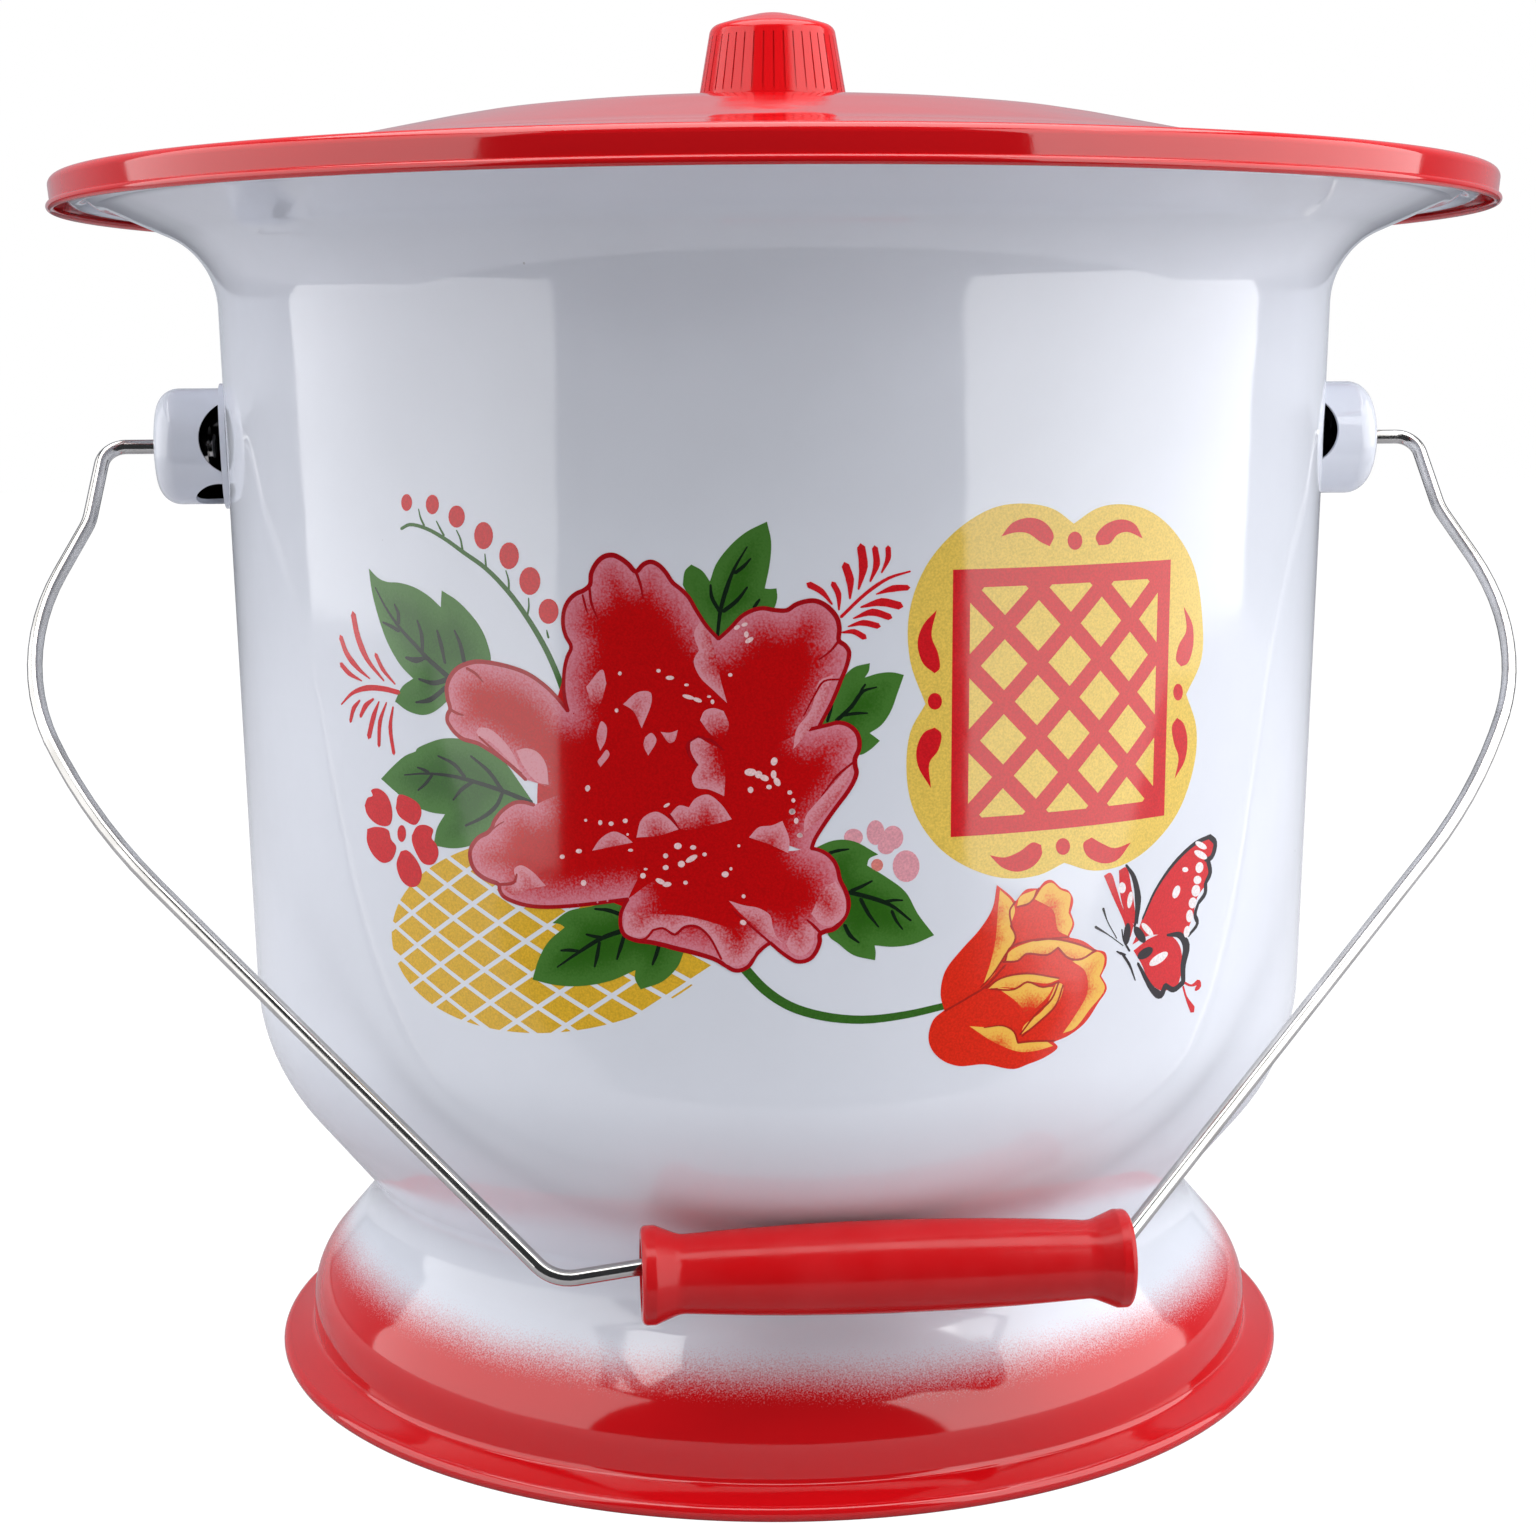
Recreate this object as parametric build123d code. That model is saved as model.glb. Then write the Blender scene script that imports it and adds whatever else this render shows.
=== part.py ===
from build123d import *
import math
import os

# Slop jar: a footed bowl of enamelled steel, a lift-off lid with a knob, and a wire bail that
# swings on two ears. Millimetres, +Z up, +X to the right-hand ear, -Y to the front.
# The origin is the middle of the ring that the foot stands on.

# Sheet, seams and clearances
sheet = 1.2                  # pressed steel with its enamel
seam_gap = 0.05              # between pieces that are joined
rest_gap = 0.3               # between pieces that rest on each other
overrun = 4.0                # how far a cut reaches past the piece

# Foot
foot_flange = 6.8            # from the foot's wall out to the rolled edge
foot_bead_radius = 1.6
foot_land = 1.4              # width of the flat ring worn on the rolled edge
foot_flare = 16.7            # how far the wall stands out beyond the waist
foot_shoulder_height = 15.5
foot_shoulder_round = 16.0
foot_groove_height = 4.9
foot_groove_round = 1.5
foot_lap = 13.6              # flange under the bowl, inwards from the waist
foot_corner_round = 4.0

# Bowl
waist_height = 34.9
waist_radius = 85.6          # where the foot's cone and the bowl's cone would meet
waist_fillet = 10.2          # weld and enamel that fill the crease
bowl_corner_round = 4.0
belly_height = 67.4
belly_flare = 26.0           # how far the belly stands out beyond the waist
belly_round = 42.0
shoulder_height = 231.8
wall_lean = 3.6              # how far the wall leans out between belly and shoulder
shoulder_round = 16.0
brim_overhang = 28.8         # from the shoulder out over the rolled edge
brim_level = 7.0             # level part of the brim, with its rolled edge
brim_turn_round = 6.0
brim_bead_radius = 2.2
brim_rise = 11.65            # from the shoulder up to the middle of the rolled edge

# Lid
lid_play = 1.9               # between the brim's edge and the inside of the skirt
lid_skirt_height = 6.5
lid_shoulder_round = 1.8
lid_hem_radius = 0.85
lid_brim_angle = 6.2         # degrees that the flat edge falls outwards
lid_dome_height = 17.3       # knob seat above the shoulder
lid_dome_round = 112.0
lid_crown_round = 40.0
lid_brim_width = 43.6        # from the skirt in to the dome
lid_dome_mid_share = 0.657   # of the dome's radius, where its slope is steepest
lid_dome_rise_share = 0.717  # of the dome's height, at the same place

# Knob and its fastening
knob_radius = 15.4
knob_top_radius = 12.9
knob_height = 17.9
knob_side_height = 14.95
knob_shoulder_round = 2.2
knob_crown_radius = 7.5      # where the low crown bends
knob_crown_drop = 1.3        # from the tip to that bend
knob_crown_round = 30.0
knob_tip_radius = 2.2
knob_tip_round = 12.0
knob_base_band = 1.5
knob_groove_count = 42
knob_groove_width = 0.5
knob_groove_depth = 0.3
insert_radius = 4.2
insert_length = 9.0
insert_depth = 1.0           # how far it sits above the knob's underside
screw_radius = 2.5
screw_length = 11.0          # under the head
screw_head_radius = 4.6
screw_head_height = 2.8
screw_head_round = 1.4
screw_slot_length = 5.0
screw_slot_width = 0.9
screw_slot_depth = 1.3
washer_radius = 7.5
washer_thickness = 1.0
screw_hole_clearance = 0.3

# Ears
ear_drop = 38.4              # from the shoulder down to the bail's pivot
ear_radius = 12.0
ear_depth = 15.04            # from the bowl's wall to the ear's outer face
ear_corner_round = 4.5
ear_face_flat = 5.0
ear_face_fall = 1.1          # how far the face falls back at its edge
ear_face_round = 12.0
ear_hole_clearance = 0.3
ear_pad_radius = 13.0
ear_pad_thickness = 1.2
ear_window_length = 13.3
ear_window_depth = 3.8
ear_window_rise = 2.0
ear_notch_length = 10.4
ear_notch_depth = 5.4
ear_notch_angle = 26.0       # degrees from straight down towards the front

# Bail
wire_radius = 1.5
wire_end_gap = 1.6           # wire head to ear pad
wire_head_radius = 2.7
wire_head_thickness = 1.2
end_washer_radius = 4.2
end_washer_thickness = 1.5
bail_stub = 10.6             # ear face to the first bend
bail_stub_round = 4.8
bail_kink_drop = 18.5
bail_kink_spread = 2.1
bail_kink_round = 12.0
bail_lid_gap = 1.65          # least gap to the lid as the bail swings over it
bail_hip_angle = 18.0        # degrees from the pivot line, seen from the middle of that line
bail_hip_share = 1.02        # of the radius that clears the lid
bail_hip_round = 48.0
bail_thigh_angle = 32.1
bail_thigh_share = 1.018
bail_thigh_round = 130.0
bail_corner_margin = 5.9     # grip's half length to the lower bend
bail_corner_round = 8.0
bail_bow_angle = 7.4         # degrees that the run rises from the lower bends to its middle
bail_bow_round = 240.0

# Grip
grip_length = 89.0
grip_barrel_radius = 8.4
grip_end_radius = 8.9
grip_neck_radius = 7.05
grip_bore_radius = 5.8
grip_mouth_radius = 6.6
grip_mouth_depth = 8.5
grip_lip_length = 2.5
grip_lip_round = 1.05
grip_neck_length = 7.0
grip_neck_round = 5.0
grip_tent = 1.05             # crest of the barrel's outline before it is rounded
grip_barrel_round = 520.0
grip_shift = 9.7             # the loose grip has slid this far to the right
grip_rest = 23.7             # how far above the waist it lies on the bowl's cone


def turn(face):
    """Revolve a face drawn as (radius, height) about the pot's axis."""
    return revolve(Plane.XZ * face, axis=Axis.Z)


def strip(points, rounds, side):
    """Face of one sheet thickness beside a bent outline."""
    outline = FilletPolyline(*points, radius=rounds)
    return make_face(offset(outline, amount=sheet, side=side, closed=True).edges())


def direction(start, end):
    """Unit vector between two outline points."""
    length = math.dist(start, end)
    return (end[0] - start[0]) / length, (end[1] - start[1]) / length


def wall_radius(height):
    """Outer radius of the bowl's wall between belly and shoulder."""
    share = (height - belly_height) / (shoulder_height - belly_height)
    return belly_radius + share * (shoulder_radius - belly_radius)


# Places that several pieces share
waist = (waist_radius, waist_height)
belly_radius = waist_radius + belly_flare
belly = (belly_radius, belly_height)
shoulder_radius = belly_radius + wall_lean
foot_wall_radius = waist_radius + foot_flare
foot_radius = foot_wall_radius + foot_flange
foot_shoulder = (foot_wall_radius, foot_shoulder_height)
brim_radius = shoulder_radius + brim_overhang
brim_height = shoulder_height + brim_rise
brim_middle = (brim_radius - brim_bead_radius, brim_height)
brim_underside = brim_height - brim_bead_radius
foot_bead_radius_at = foot_radius - foot_bead_radius
foot_bead_height = math.sqrt(foot_bead_radius ** 2 - (foot_land / 2) ** 2)

lid_tilt = math.radians(lid_brim_angle)
lid_skirt_radius = brim_radius + lid_play + sheet
lid_hem_middle = lid_skirt_radius - sheet + lid_hem_radius
lid_radius = lid_hem_middle + lid_hem_radius
lid_dome_radius = lid_skirt_radius - lid_brim_width
lid_seat = brim_height + (brim_bead_radius + rest_gap + sheet) / math.cos(lid_tilt)
lid_edge_height = lid_seat - (lid_skirt_radius - brim_middle[0]) * math.tan(lid_tilt)
lid_bottom = lid_edge_height - lid_skirt_height
lid_top = lid_edge_height + lid_dome_height
knob_seat_radius = knob_radius + lid_crown_round * math.tan(lid_tilt)

ear_height = shoulder_height - ear_drop
ear_wall = wall_radius(ear_height)
ear_reach = ear_wall + ear_depth
ear_pad_face = ear_wall + seam_gap + ear_pad_thickness
wire_end = ear_pad_face + wire_end_gap
washer_place = wire_end + wire_head_thickness + seam_gap

bail_clear = math.hypot(lid_radius, lid_edge_height - ear_height) + bail_lid_gap
bail_corner = grip_length / 2 + bail_corner_margin
bow_turn = math.radians(bail_bow_angle)
bail_bow = bail_corner * math.tan(bow_turn)


def grip_at_rest():
    """Distance from the pot's axis and height of the grip's axis as it lies on the bowl's cone."""
    along = direction(waist, belly)
    stand_off = grip_barrel_radius + rest_gap
    away = waist[0] + grip_rest * along[0] + stand_off * along[1]
    height = waist[1] + grip_rest * along[1] - stand_off * along[0]
    return away, height


grip_away, grip_height = grip_at_rest()
grip_drop = math.hypot(grip_away, ear_height - grip_height)
bail_angle = math.atan2(grip_away, ear_height - grip_height)
bail_run = grip_drop - grip_bore_radius + wire_radius + rest_gap
bail_drop = bail_run + bail_bow - bail_bow_round * (1 / math.cos(bow_turn) - 1)


def polar(radius, angle):
    """Point in the bail's plane, measured from the middle of the pivot line."""
    return radius * math.cos(math.radians(angle)), radius * math.sin(math.radians(angle))


def bowl_outline():
    """Outer face of the bowl from the middle of its floor to the rolled edge."""
    points = [
        (0, waist_height),
        waist,
        belly,
        (shoulder_radius, shoulder_height),
        (brim_radius - brim_level, brim_underside),
        (brim_middle[0], brim_underside),
    ]
    rounds = [bowl_corner_round, belly_round, shoulder_round, brim_turn_round]
    return points, rounds


def make_bowl():
    """One deep pressing with a flared brim and a rolled edge."""
    points, rounds = bowl_outline()
    wall = strip(points, rounds, Side.LEFT)
    edge = Pos(*brim_middle) * Circle(brim_bead_radius)
    return turn(wall + edge)


def crease_fillet():
    """Face of the weld and enamel that round the crease between foot and bowl."""
    up = direction(waist, belly)
    down = direction(waist, foot_shoulder)
    half_angle = math.acos(up[0] * down[0] + up[1] * down[1]) / 2
    reach = waist_fillet / math.tan(half_angle)
    upper = (waist[0] + reach * up[0], waist[1] + reach * up[1])
    lower = (waist[0] + reach * down[0], waist[1] + reach * down[1])
    middle = (up[0] + down[0], up[1] + down[1])
    scale = 1 / math.hypot(*middle)
    apex_reach = waist_fillet / math.sin(half_angle) - waist_fillet
    apex = (waist[0] + apex_reach * middle[0] * scale, waist[1] + apex_reach * middle[1] * scale)
    border = Curve() + [
        Line(waist, upper),
        ThreePointArc(upper, apex, lower),
        Line(lower, waist),
    ]
    bowl_side = Polygon(
        (0, waist_height),
        waist,
        belly,
        (0, belly_height),
        align=None,
    )
    return make_face(border.edges()) - offset(bowl_side, amount=seam_gap)


def make_foot():
    """Flared foot ring: a lap under the bowl, a cone, a bulged wall and a flange with a rolled edge."""
    flange_top = (foot_bead_radius_at, foot_bead_height + foot_bead_radius)
    points = [
        (waist_radius - foot_lap, waist_height),
        waist,
        foot_shoulder,
        (foot_wall_radius, foot_groove_height),
        flange_top,
    ]
    rounds = [foot_corner_round, foot_shoulder_round, foot_groove_round]
    wall = strip(points, rounds, Side.RIGHT)
    edge = Pos(foot_bead_radius_at, foot_bead_height) * Circle(foot_bead_radius)
    floor = Rectangle(4 * foot_bead_radius, 2 * foot_bead_radius)
    floor = Pos(foot_bead_radius_at, -foot_bead_radius) * floor
    return turn(wall + (edge - floor) + crease_fillet())


def lid_outline():
    """Outer face of the lid from its middle to the lower edge of its skirt."""
    dome_foot = lid_edge_height + lid_brim_width * math.tan(lid_tilt)
    points = [
        (0, lid_top),
        (knob_seat_radius, lid_top),
        (lid_dome_mid_share * lid_dome_radius, lid_edge_height + lid_dome_rise_share * lid_dome_height),
        (lid_dome_radius, dome_foot),
        (lid_skirt_radius, lid_edge_height),
        (lid_skirt_radius, lid_bottom + lid_hem_radius),
    ]
    rounds = [lid_crown_round, lid_dome_round, lid_dome_round, lid_shoulder_round]
    return points, rounds


def make_lid_shell():
    """Low domed pressing with a skirt, a rolled hem and a hole for the knob's screw."""
    points, rounds = lid_outline()
    hem = Pos(lid_hem_middle, lid_bottom + lid_hem_radius) * Circle(lid_hem_radius)
    shell = turn(strip(points, rounds, Side.RIGHT) + hem)
    hole = Pos(0, 0, lid_top) * Cylinder(screw_radius + screw_hole_clearance, 2 * (sheet + overrun))
    return shell - hole


def knob_groove():
    """One V-shaped groove down the knob's tapered side."""
    low = Vector(knob_radius, 0, lid_top + knob_base_band)
    side_share = (knob_side_height - knob_shoulder_round) / knob_side_height
    narrowing = (knob_radius - knob_top_radius) * side_share
    high = Vector(knob_radius - narrowing, 0, lid_top + side_share * knob_side_height)
    start = Plane(origin=low, x_dir=(0, 1, 0), z_dir=high - low)
    profile = Polygon(
        (-knob_groove_width / 2, knob_groove_depth),
        (0, -knob_groove_depth),
        (knob_groove_width / 2, knob_groove_depth),
        align=None,
    )
    return extrude(start * profile, amount=(high - low).length)


def make_lid_knob():
    """Tapered knob with a low crown, fine grooves and a pocket for its threaded insert."""
    outline = FilletPolyline(
        (0, lid_top),
        (knob_radius, lid_top),
        (knob_radius, lid_top + knob_base_band / 2),
        (knob_top_radius, lid_top + knob_side_height),
        (knob_crown_radius, lid_top + knob_height - knob_crown_drop),
        (knob_tip_radius, lid_top + knob_height),
        (0, lid_top + knob_height),
        radius=[knob_groove_depth, knob_groove_depth, knob_shoulder_round, knob_crown_round, knob_tip_round],
    )
    border = Curve() + [outline, Line((0, lid_top + knob_height), (0, lid_top))]
    knob = turn(make_face(border.edges()))
    pocket_top = lid_top + insert_depth + insert_length + seam_gap
    pocket_height = insert_length + 2 * seam_gap
    pocket = Pos(0, 0, pocket_top) * Cylinder(
        insert_radius + seam_gap, pocket_height, align=(Align.CENTER, Align.CENTER, Align.MAX)
    )
    tip_top = lid_top - sheet - washer_thickness + screw_length + seam_gap
    way = Pos(0, 0, tip_top) * Cylinder(
        screw_radius + screw_hole_clearance, screw_length, align=(Align.CENTER, Align.CENTER, Align.MAX)
    )
    grooves = [Rot(0, 0, 360 * i / knob_groove_count) * knob_groove() for i in range(knob_groove_count)]
    return knob - pocket - way - grooves


def make_knob_insert():
    """Threaded bush moulded into the knob."""
    height = lid_top + insert_depth
    place = Pos(0, 0, height)
    base = (Align.CENTER, Align.CENTER, Align.MIN)
    bush = place * Cylinder(insert_radius, insert_length, align=base)
    bore = place * Cylinder(screw_radius + seam_gap, insert_length + overrun, align=base)
    return bush - bore


def make_knob_washer():
    """Flat washer between the screw's head and the inside of the lid."""
    top = Pos(0, 0, lid_top - sheet)
    hung = (Align.CENTER, Align.CENTER, Align.MAX)
    disc = top * Cylinder(washer_radius, washer_thickness, align=hung)
    hole = Pos(0, 0, lid_top) * Cylinder(screw_radius + screw_hole_clearance, lid_top, align=hung)
    return disc - hole


def make_knob_screw():
    """Pan-head screw, driven up into the knob from inside the lid."""
    seat = lid_top - sheet - washer_thickness
    place = Pos(0, 0, seat)
    shank = place * Cylinder(screw_radius, screw_length, align=(Align.CENTER, Align.CENTER, Align.MIN))
    head = place * Cylinder(
        screw_head_radius, screw_head_height, align=(Align.CENTER, Align.CENTER, Align.MAX)
    )
    head = fillet(head.edges().group_by(Axis.Z)[0], screw_head_round)
    underside = Pos(0, 0, seat - screw_head_height)
    slot = underside * Box(screw_slot_length, screw_slot_width, 2 * screw_slot_depth)
    return shank + head - slot - Rot(0, 0, 90) * slot


def wall_ring(inner, outer, reach):
    """Ring around the bowl's wall at the ears, between two distances from that wall."""
    low, high = ear_height - reach, ear_height + reach
    face = Polygon(
        (wall_radius(low) + inner, low),
        (wall_radius(low) + outer, low),
        (wall_radius(high) + outer, high),
        (wall_radius(high) + inner, high),
        align=None,
    )
    return turn(face)


def across(radius, length):
    """Cylinder on the pivot line, from the pot's axis outwards."""
    bar = Cylinder(radius, length, align=(Align.CENTER, Align.CENTER, Align.MIN))
    return Pos(0, 0, ear_height) * Rot(0, 90, 0) * bar


def make_ear_plate():
    """Round pad, bent to the wall, that the ear's cup stands on."""
    ring = wall_ring(seam_gap, seam_gap + ear_pad_thickness, ear_pad_radius + overrun)
    return ring & across(ear_pad_radius, ear_reach)


def make_ear_cup():
    """Pressed cup that holds the wire's end, with a window in its front where it meets the wall."""
    outline = FilletPolyline(
        (ear_reach, 0),
        (ear_reach, ear_face_flat),
        (ear_reach - ear_face_fall, ear_radius),
        (ear_wall - ear_radius, ear_radius),
        radius=[ear_face_round, ear_corner_round],
    )
    skin = make_face(offset(outline, amount=sheet, side=Side.LEFT, closed=True).edges())
    cup = Pos(0, 0, ear_height) * revolve(Plane.XY * skin, axis=Axis.X)
    cup = cup - across(wire_radius + ear_hole_clearance, ear_reach + overrun)
    body = wall_ring(-ear_wall / 2, 2 * seam_gap + ear_pad_thickness, ear_radius + overrun)
    return cup - body - ear_window()


def arc_radius(length, depth):
    """Radius of a round cut with this chord and depth."""
    return (length ** 2 / 4 + depth ** 2) / (2 * depth)


def ear_window():
    """Round cut through the front of the cup's edge."""
    radius = arc_radius(ear_window_length, ear_window_depth)
    place = Pos(ear_pad_face + ear_window_depth - radius, 0, ear_height + ear_window_rise)
    depth = ear_radius + overrun
    return place * Rot(90, 0, 0) * Cylinder(radius, depth, align=(Align.CENTER, Align.CENTER, Align.MIN))


def ear_notch():
    """Round cut through the lower edge of a cup, turned a little to the front."""
    radius = arc_radius(ear_notch_length, ear_notch_depth)
    place = Pos(ear_pad_face + ear_notch_depth - radius, 0, ear_height) * Rot(-ear_notch_angle, 0, 0)
    depth = ear_radius + overrun
    return place * Cylinder(radius, depth, align=(Align.CENTER, Align.CENTER, Align.MAX))


def bail_plane():
    """Plane of the bail at rest: X along the pivot line, Y down the bail."""
    normal = (0, math.cos(bail_angle), -math.sin(bail_angle))
    return Plane(origin=(0, 0, ear_height), x_dir=(1, 0, 0), z_dir=normal)


def bail_path():
    """Middle line of the wire in the bail's plane, from the left end to the right end."""
    stub = ear_reach + bail_stub
    hip = polar((bail_clear + wire_radius) * bail_hip_share, bail_hip_angle)
    thigh = polar((bail_clear + wire_radius) * bail_thigh_share, bail_thigh_angle)
    right = [
        (wire_end, 0),
        (stub, 0),
        (stub + bail_kink_spread, bail_kink_drop),
        hip,
        thigh,
        (bail_corner, bail_drop),
    ]
    rounds = [bail_stub_round, bail_kink_round, bail_hip_round, bail_thigh_round, bail_corner_round]
    left = [(-x, y) for x, y in right]
    middle = (0, bail_drop - bail_bow)
    points = left + [middle] + right[::-1]
    return FilletPolyline(*points, radius=rounds + [bail_bow_round] + rounds[::-1])


def make_bail_wire():
    """One length of wire, bent to clear the lid, with a head upset on each end."""
    path = bail_plane() * bail_path()
    start = Plane(origin=path @ 0, z_dir=path % 0)
    wire = sweep(start * Circle(wire_radius), path=path)
    head = Pos(wire_end, 0, ear_height) * Rot(0, 90, 0) * Cylinder(
        wire_head_radius, wire_head_thickness, align=(Align.CENTER, Align.CENTER, Align.MIN)
    )
    head = fillet(head.edges().group_by(Axis.X)[0], wire_head_thickness / 2)
    return wire + head + mirror(head, about=Plane.YZ)


def make_end_washer():
    """Washer that keeps the wire's head inside the ear."""
    place = Pos(washer_place, 0, ear_height) * Rot(0, 90, 0)
    base = (Align.CENTER, Align.CENTER, Align.MIN)
    disc = place * Cylinder(end_washer_radius, end_washer_thickness, align=base)
    hole = place * Cylinder(wire_radius + seam_gap, end_washer_thickness + overrun, align=base)
    return disc - hole


def make_bail_grip():
    """Moulded tube with a bulged barrel, flared ends and a wide bore."""
    end = grip_length / 2
    neck = end - grip_neck_length
    crest = grip_barrel_radius + grip_tent
    half = [
        (-end, grip_mouth_radius),
        (-end, grip_end_radius),
        (-end + grip_lip_length, grip_end_radius),
        (-neck, grip_neck_radius),
    ]
    rounds = [grip_lip_round, grip_lip_round, grip_neck_round]
    outer = half + [(0, crest)] + [(-x, y) for x, y in half[::-1]]
    skin = FilletPolyline(*outer, radius=rounds + [grip_barrel_round] + rounds[::-1])
    waist_in = end - grip_mouth_depth
    bore = Polyline(
        (end, grip_mouth_radius),
        (waist_in, grip_bore_radius),
        (-waist_in, grip_bore_radius),
        (-end, grip_mouth_radius),
    )
    face = make_face((Curve() + [skin, bore]).edges())
    grip = revolve(Plane.XY * face, axis=Axis.X)
    return Pos(grip_shift, -grip_away, grip_height) * grip


def opposite(shape):
    """The same piece on the left-hand side."""
    return mirror(shape, about=Plane.YZ)


def main():
    ear_plate = make_ear_plate()
    ear_cup = make_ear_cup()
    end_washer = make_end_washer()
    pieces = {
        "bowl": make_bowl(),
        "foot": make_foot(),
        "left_ear_plate": opposite(ear_plate),
        "right_ear_plate": ear_plate,
        "left_ear_cup": opposite(ear_cup - ear_notch()),
        "right_ear_cup": ear_cup,
        "bail_wire": make_bail_wire(),
        "left_end_washer": opposite(end_washer),
        "right_end_washer": end_washer,
        "bail_grip": make_bail_grip(),
        "lid_shell": make_lid_shell(),
        "lid_knob": make_lid_knob(),
        "knob_insert": make_knob_insert(),
        "knob_washer": make_knob_washer(),
        "knob_screw": make_knob_screw(),
    }
    os.makedirs("parts", exist_ok=True)
    for name, shape in pieces.items():
        export_step(shape, f"parts/{name}.step")
    print("bail rests at", round(math.degrees(bail_angle), 2), "degrees from straight down")
    print("pivot", ear_height, "grip axis", round(-grip_away, 3), round(grip_height, 3))
    print("lid bottom", round(lid_bottom, 3), "lid top", round(lid_top, 3), "lid radius", lid_radius)


main()
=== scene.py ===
import bpy
import bmesh
import math
from mathutils import Matrix, Vector
from mathutils.geometry import delaunay_2d_cdt


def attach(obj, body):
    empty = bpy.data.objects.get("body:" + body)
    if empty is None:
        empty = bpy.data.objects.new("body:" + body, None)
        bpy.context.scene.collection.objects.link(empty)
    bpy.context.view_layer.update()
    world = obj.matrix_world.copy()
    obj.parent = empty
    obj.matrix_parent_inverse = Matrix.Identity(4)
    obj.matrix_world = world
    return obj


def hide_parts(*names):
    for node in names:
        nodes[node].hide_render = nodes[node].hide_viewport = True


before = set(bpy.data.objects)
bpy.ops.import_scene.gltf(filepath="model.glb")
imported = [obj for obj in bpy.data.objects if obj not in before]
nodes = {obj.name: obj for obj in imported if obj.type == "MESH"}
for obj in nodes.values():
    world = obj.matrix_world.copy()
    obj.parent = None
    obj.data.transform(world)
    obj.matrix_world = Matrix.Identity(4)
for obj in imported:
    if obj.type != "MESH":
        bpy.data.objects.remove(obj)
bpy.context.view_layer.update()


# Camera
# It stood close to the jar and a little above its ears. The jar was turned a few degrees,
# which brought its left-hand ear nearer.
photo_width = 1536
focal_pixels = 2592.6
axis_pixel = 776.17
camera_distance = 0.5564
camera_height = 0.2094
jar_turn = math.radians(5.3)
camera_pitch = math.radians(8.82)
camera_roll = math.radians(0.32)

camera_data = bpy.data.cameras.new("photo_camera")
camera_data.sensor_width = 36
camera_data.lens = focal_pixels / photo_width * camera_data.sensor_width
camera_data.clip_start = 0.05
camera_data.clip_end = 20
camera = bpy.data.objects.new("photo_camera", camera_data)
bpy.context.scene.collection.objects.link(camera)
camera.matrix_world = (
    Matrix.Rotation(-jar_turn, 4, "Z")
    @ Matrix.Translation((0, -camera_distance, camera_height))
    @ Matrix.Rotation(math.atan((axis_pixel - photo_width / 2) / focal_pixels), 4, "Z")
    @ Matrix.Rotation(math.pi / 2 - camera_pitch, 4, "X")
    @ Matrix.Rotation(-camera_roll, 4, "Z")
)
bpy.context.scene.camera = camera


# Bowl
# One deep pressing in thin steel with a flared brim, rolled over at the edge. It is dipped in
# white enamel and fired, which leaves a glassy skin with faint waves, specks and pinholes.
mm = 0.001
sheet = 1.2
turned_steps = 288
waist = (85.6, 34.9)
belly = (111.6, 67.4)
shoulder = (115.2, 231.8)
brim_edge = (141.8, 243.45)
brim_bead = 2.2
brim_underside = brim_edge[1] - brim_bead
brim_turn = (137.0, brim_underside)
bowl_rounds = [4.0, 42.0, 16.0, 6.0]
enamel_white = (0.76, 0.79, 0.87)


def rounded(points, rounds):
    """Outline in (radius, height) with each inner corner bent to its round."""
    outline = [Vector(points[0])]
    for before, corner, after, radius in zip(points, points[1:], points[2:], rounds):
        back = (Vector(before) - Vector(corner)).normalized()
        ahead = (Vector(after) - Vector(corner)).normalized()
        half = back.angle(ahead) / 2
        centre = Vector(corner) + (back + ahead).normalized() * radius / math.sin(half)
        start = (Vector(corner) + back * radius / math.tan(half) - centre) / radius
        end = (Vector(corner) + ahead * radius / math.tan(half) - centre) / radius
        steps = max(2, math.ceil(math.degrees(start.angle(end)) / 4))
        outline += [centre + start.slerp(end, i / steps) * radius for i in range(steps + 1)]
    outline.append(Vector(points[-1]))
    return outline


def beside(outline, distance):
    """The same outline, moved to its left, or to its right if the distance is negative."""
    moved = []
    for i, point in enumerate(outline):
        along = outline[min(i + 1, len(outline) - 1)] - outline[max(i - 1, 0)]
        moved.append(point + Vector((-along.y, along.x)).normalized() * distance)
    return moved


def rolled_edge(outer, inner, middle, radius, turn):
    """Closed outline: along the outer face, round the rolled edge, and back along the inner face."""
    middle = Vector(middle)
    outer = [p for p in outer if (p - middle).length > radius]
    inner = [p for p in inner if (p - middle).length > radius]
    first = math.atan2(outer[-1].y - middle.y, outer[-1].x - middle.x)
    last = math.atan2(inner[-1].y - middle.y, inner[-1].x - middle.x)
    sweep = (turn * (last - first)) % math.tau
    steps = 28
    angles = [first + turn * sweep * i / steps for i in range(steps + 1)]
    bead = [middle + radius * Vector((math.cos(a), math.sin(a))) for a in angles]
    return outer + bead + inner[::-1]


def show(name, mesh, material, body, *replaced):
    """Put a mesh in the scene, on a body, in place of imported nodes."""
    piece = bpy.data.objects.new(name, mesh)
    bpy.context.scene.collection.objects.link(piece)
    mesh.materials.append(material)
    if replaced:
        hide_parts(*replaced)
    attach(piece, body)
    return piece


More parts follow.
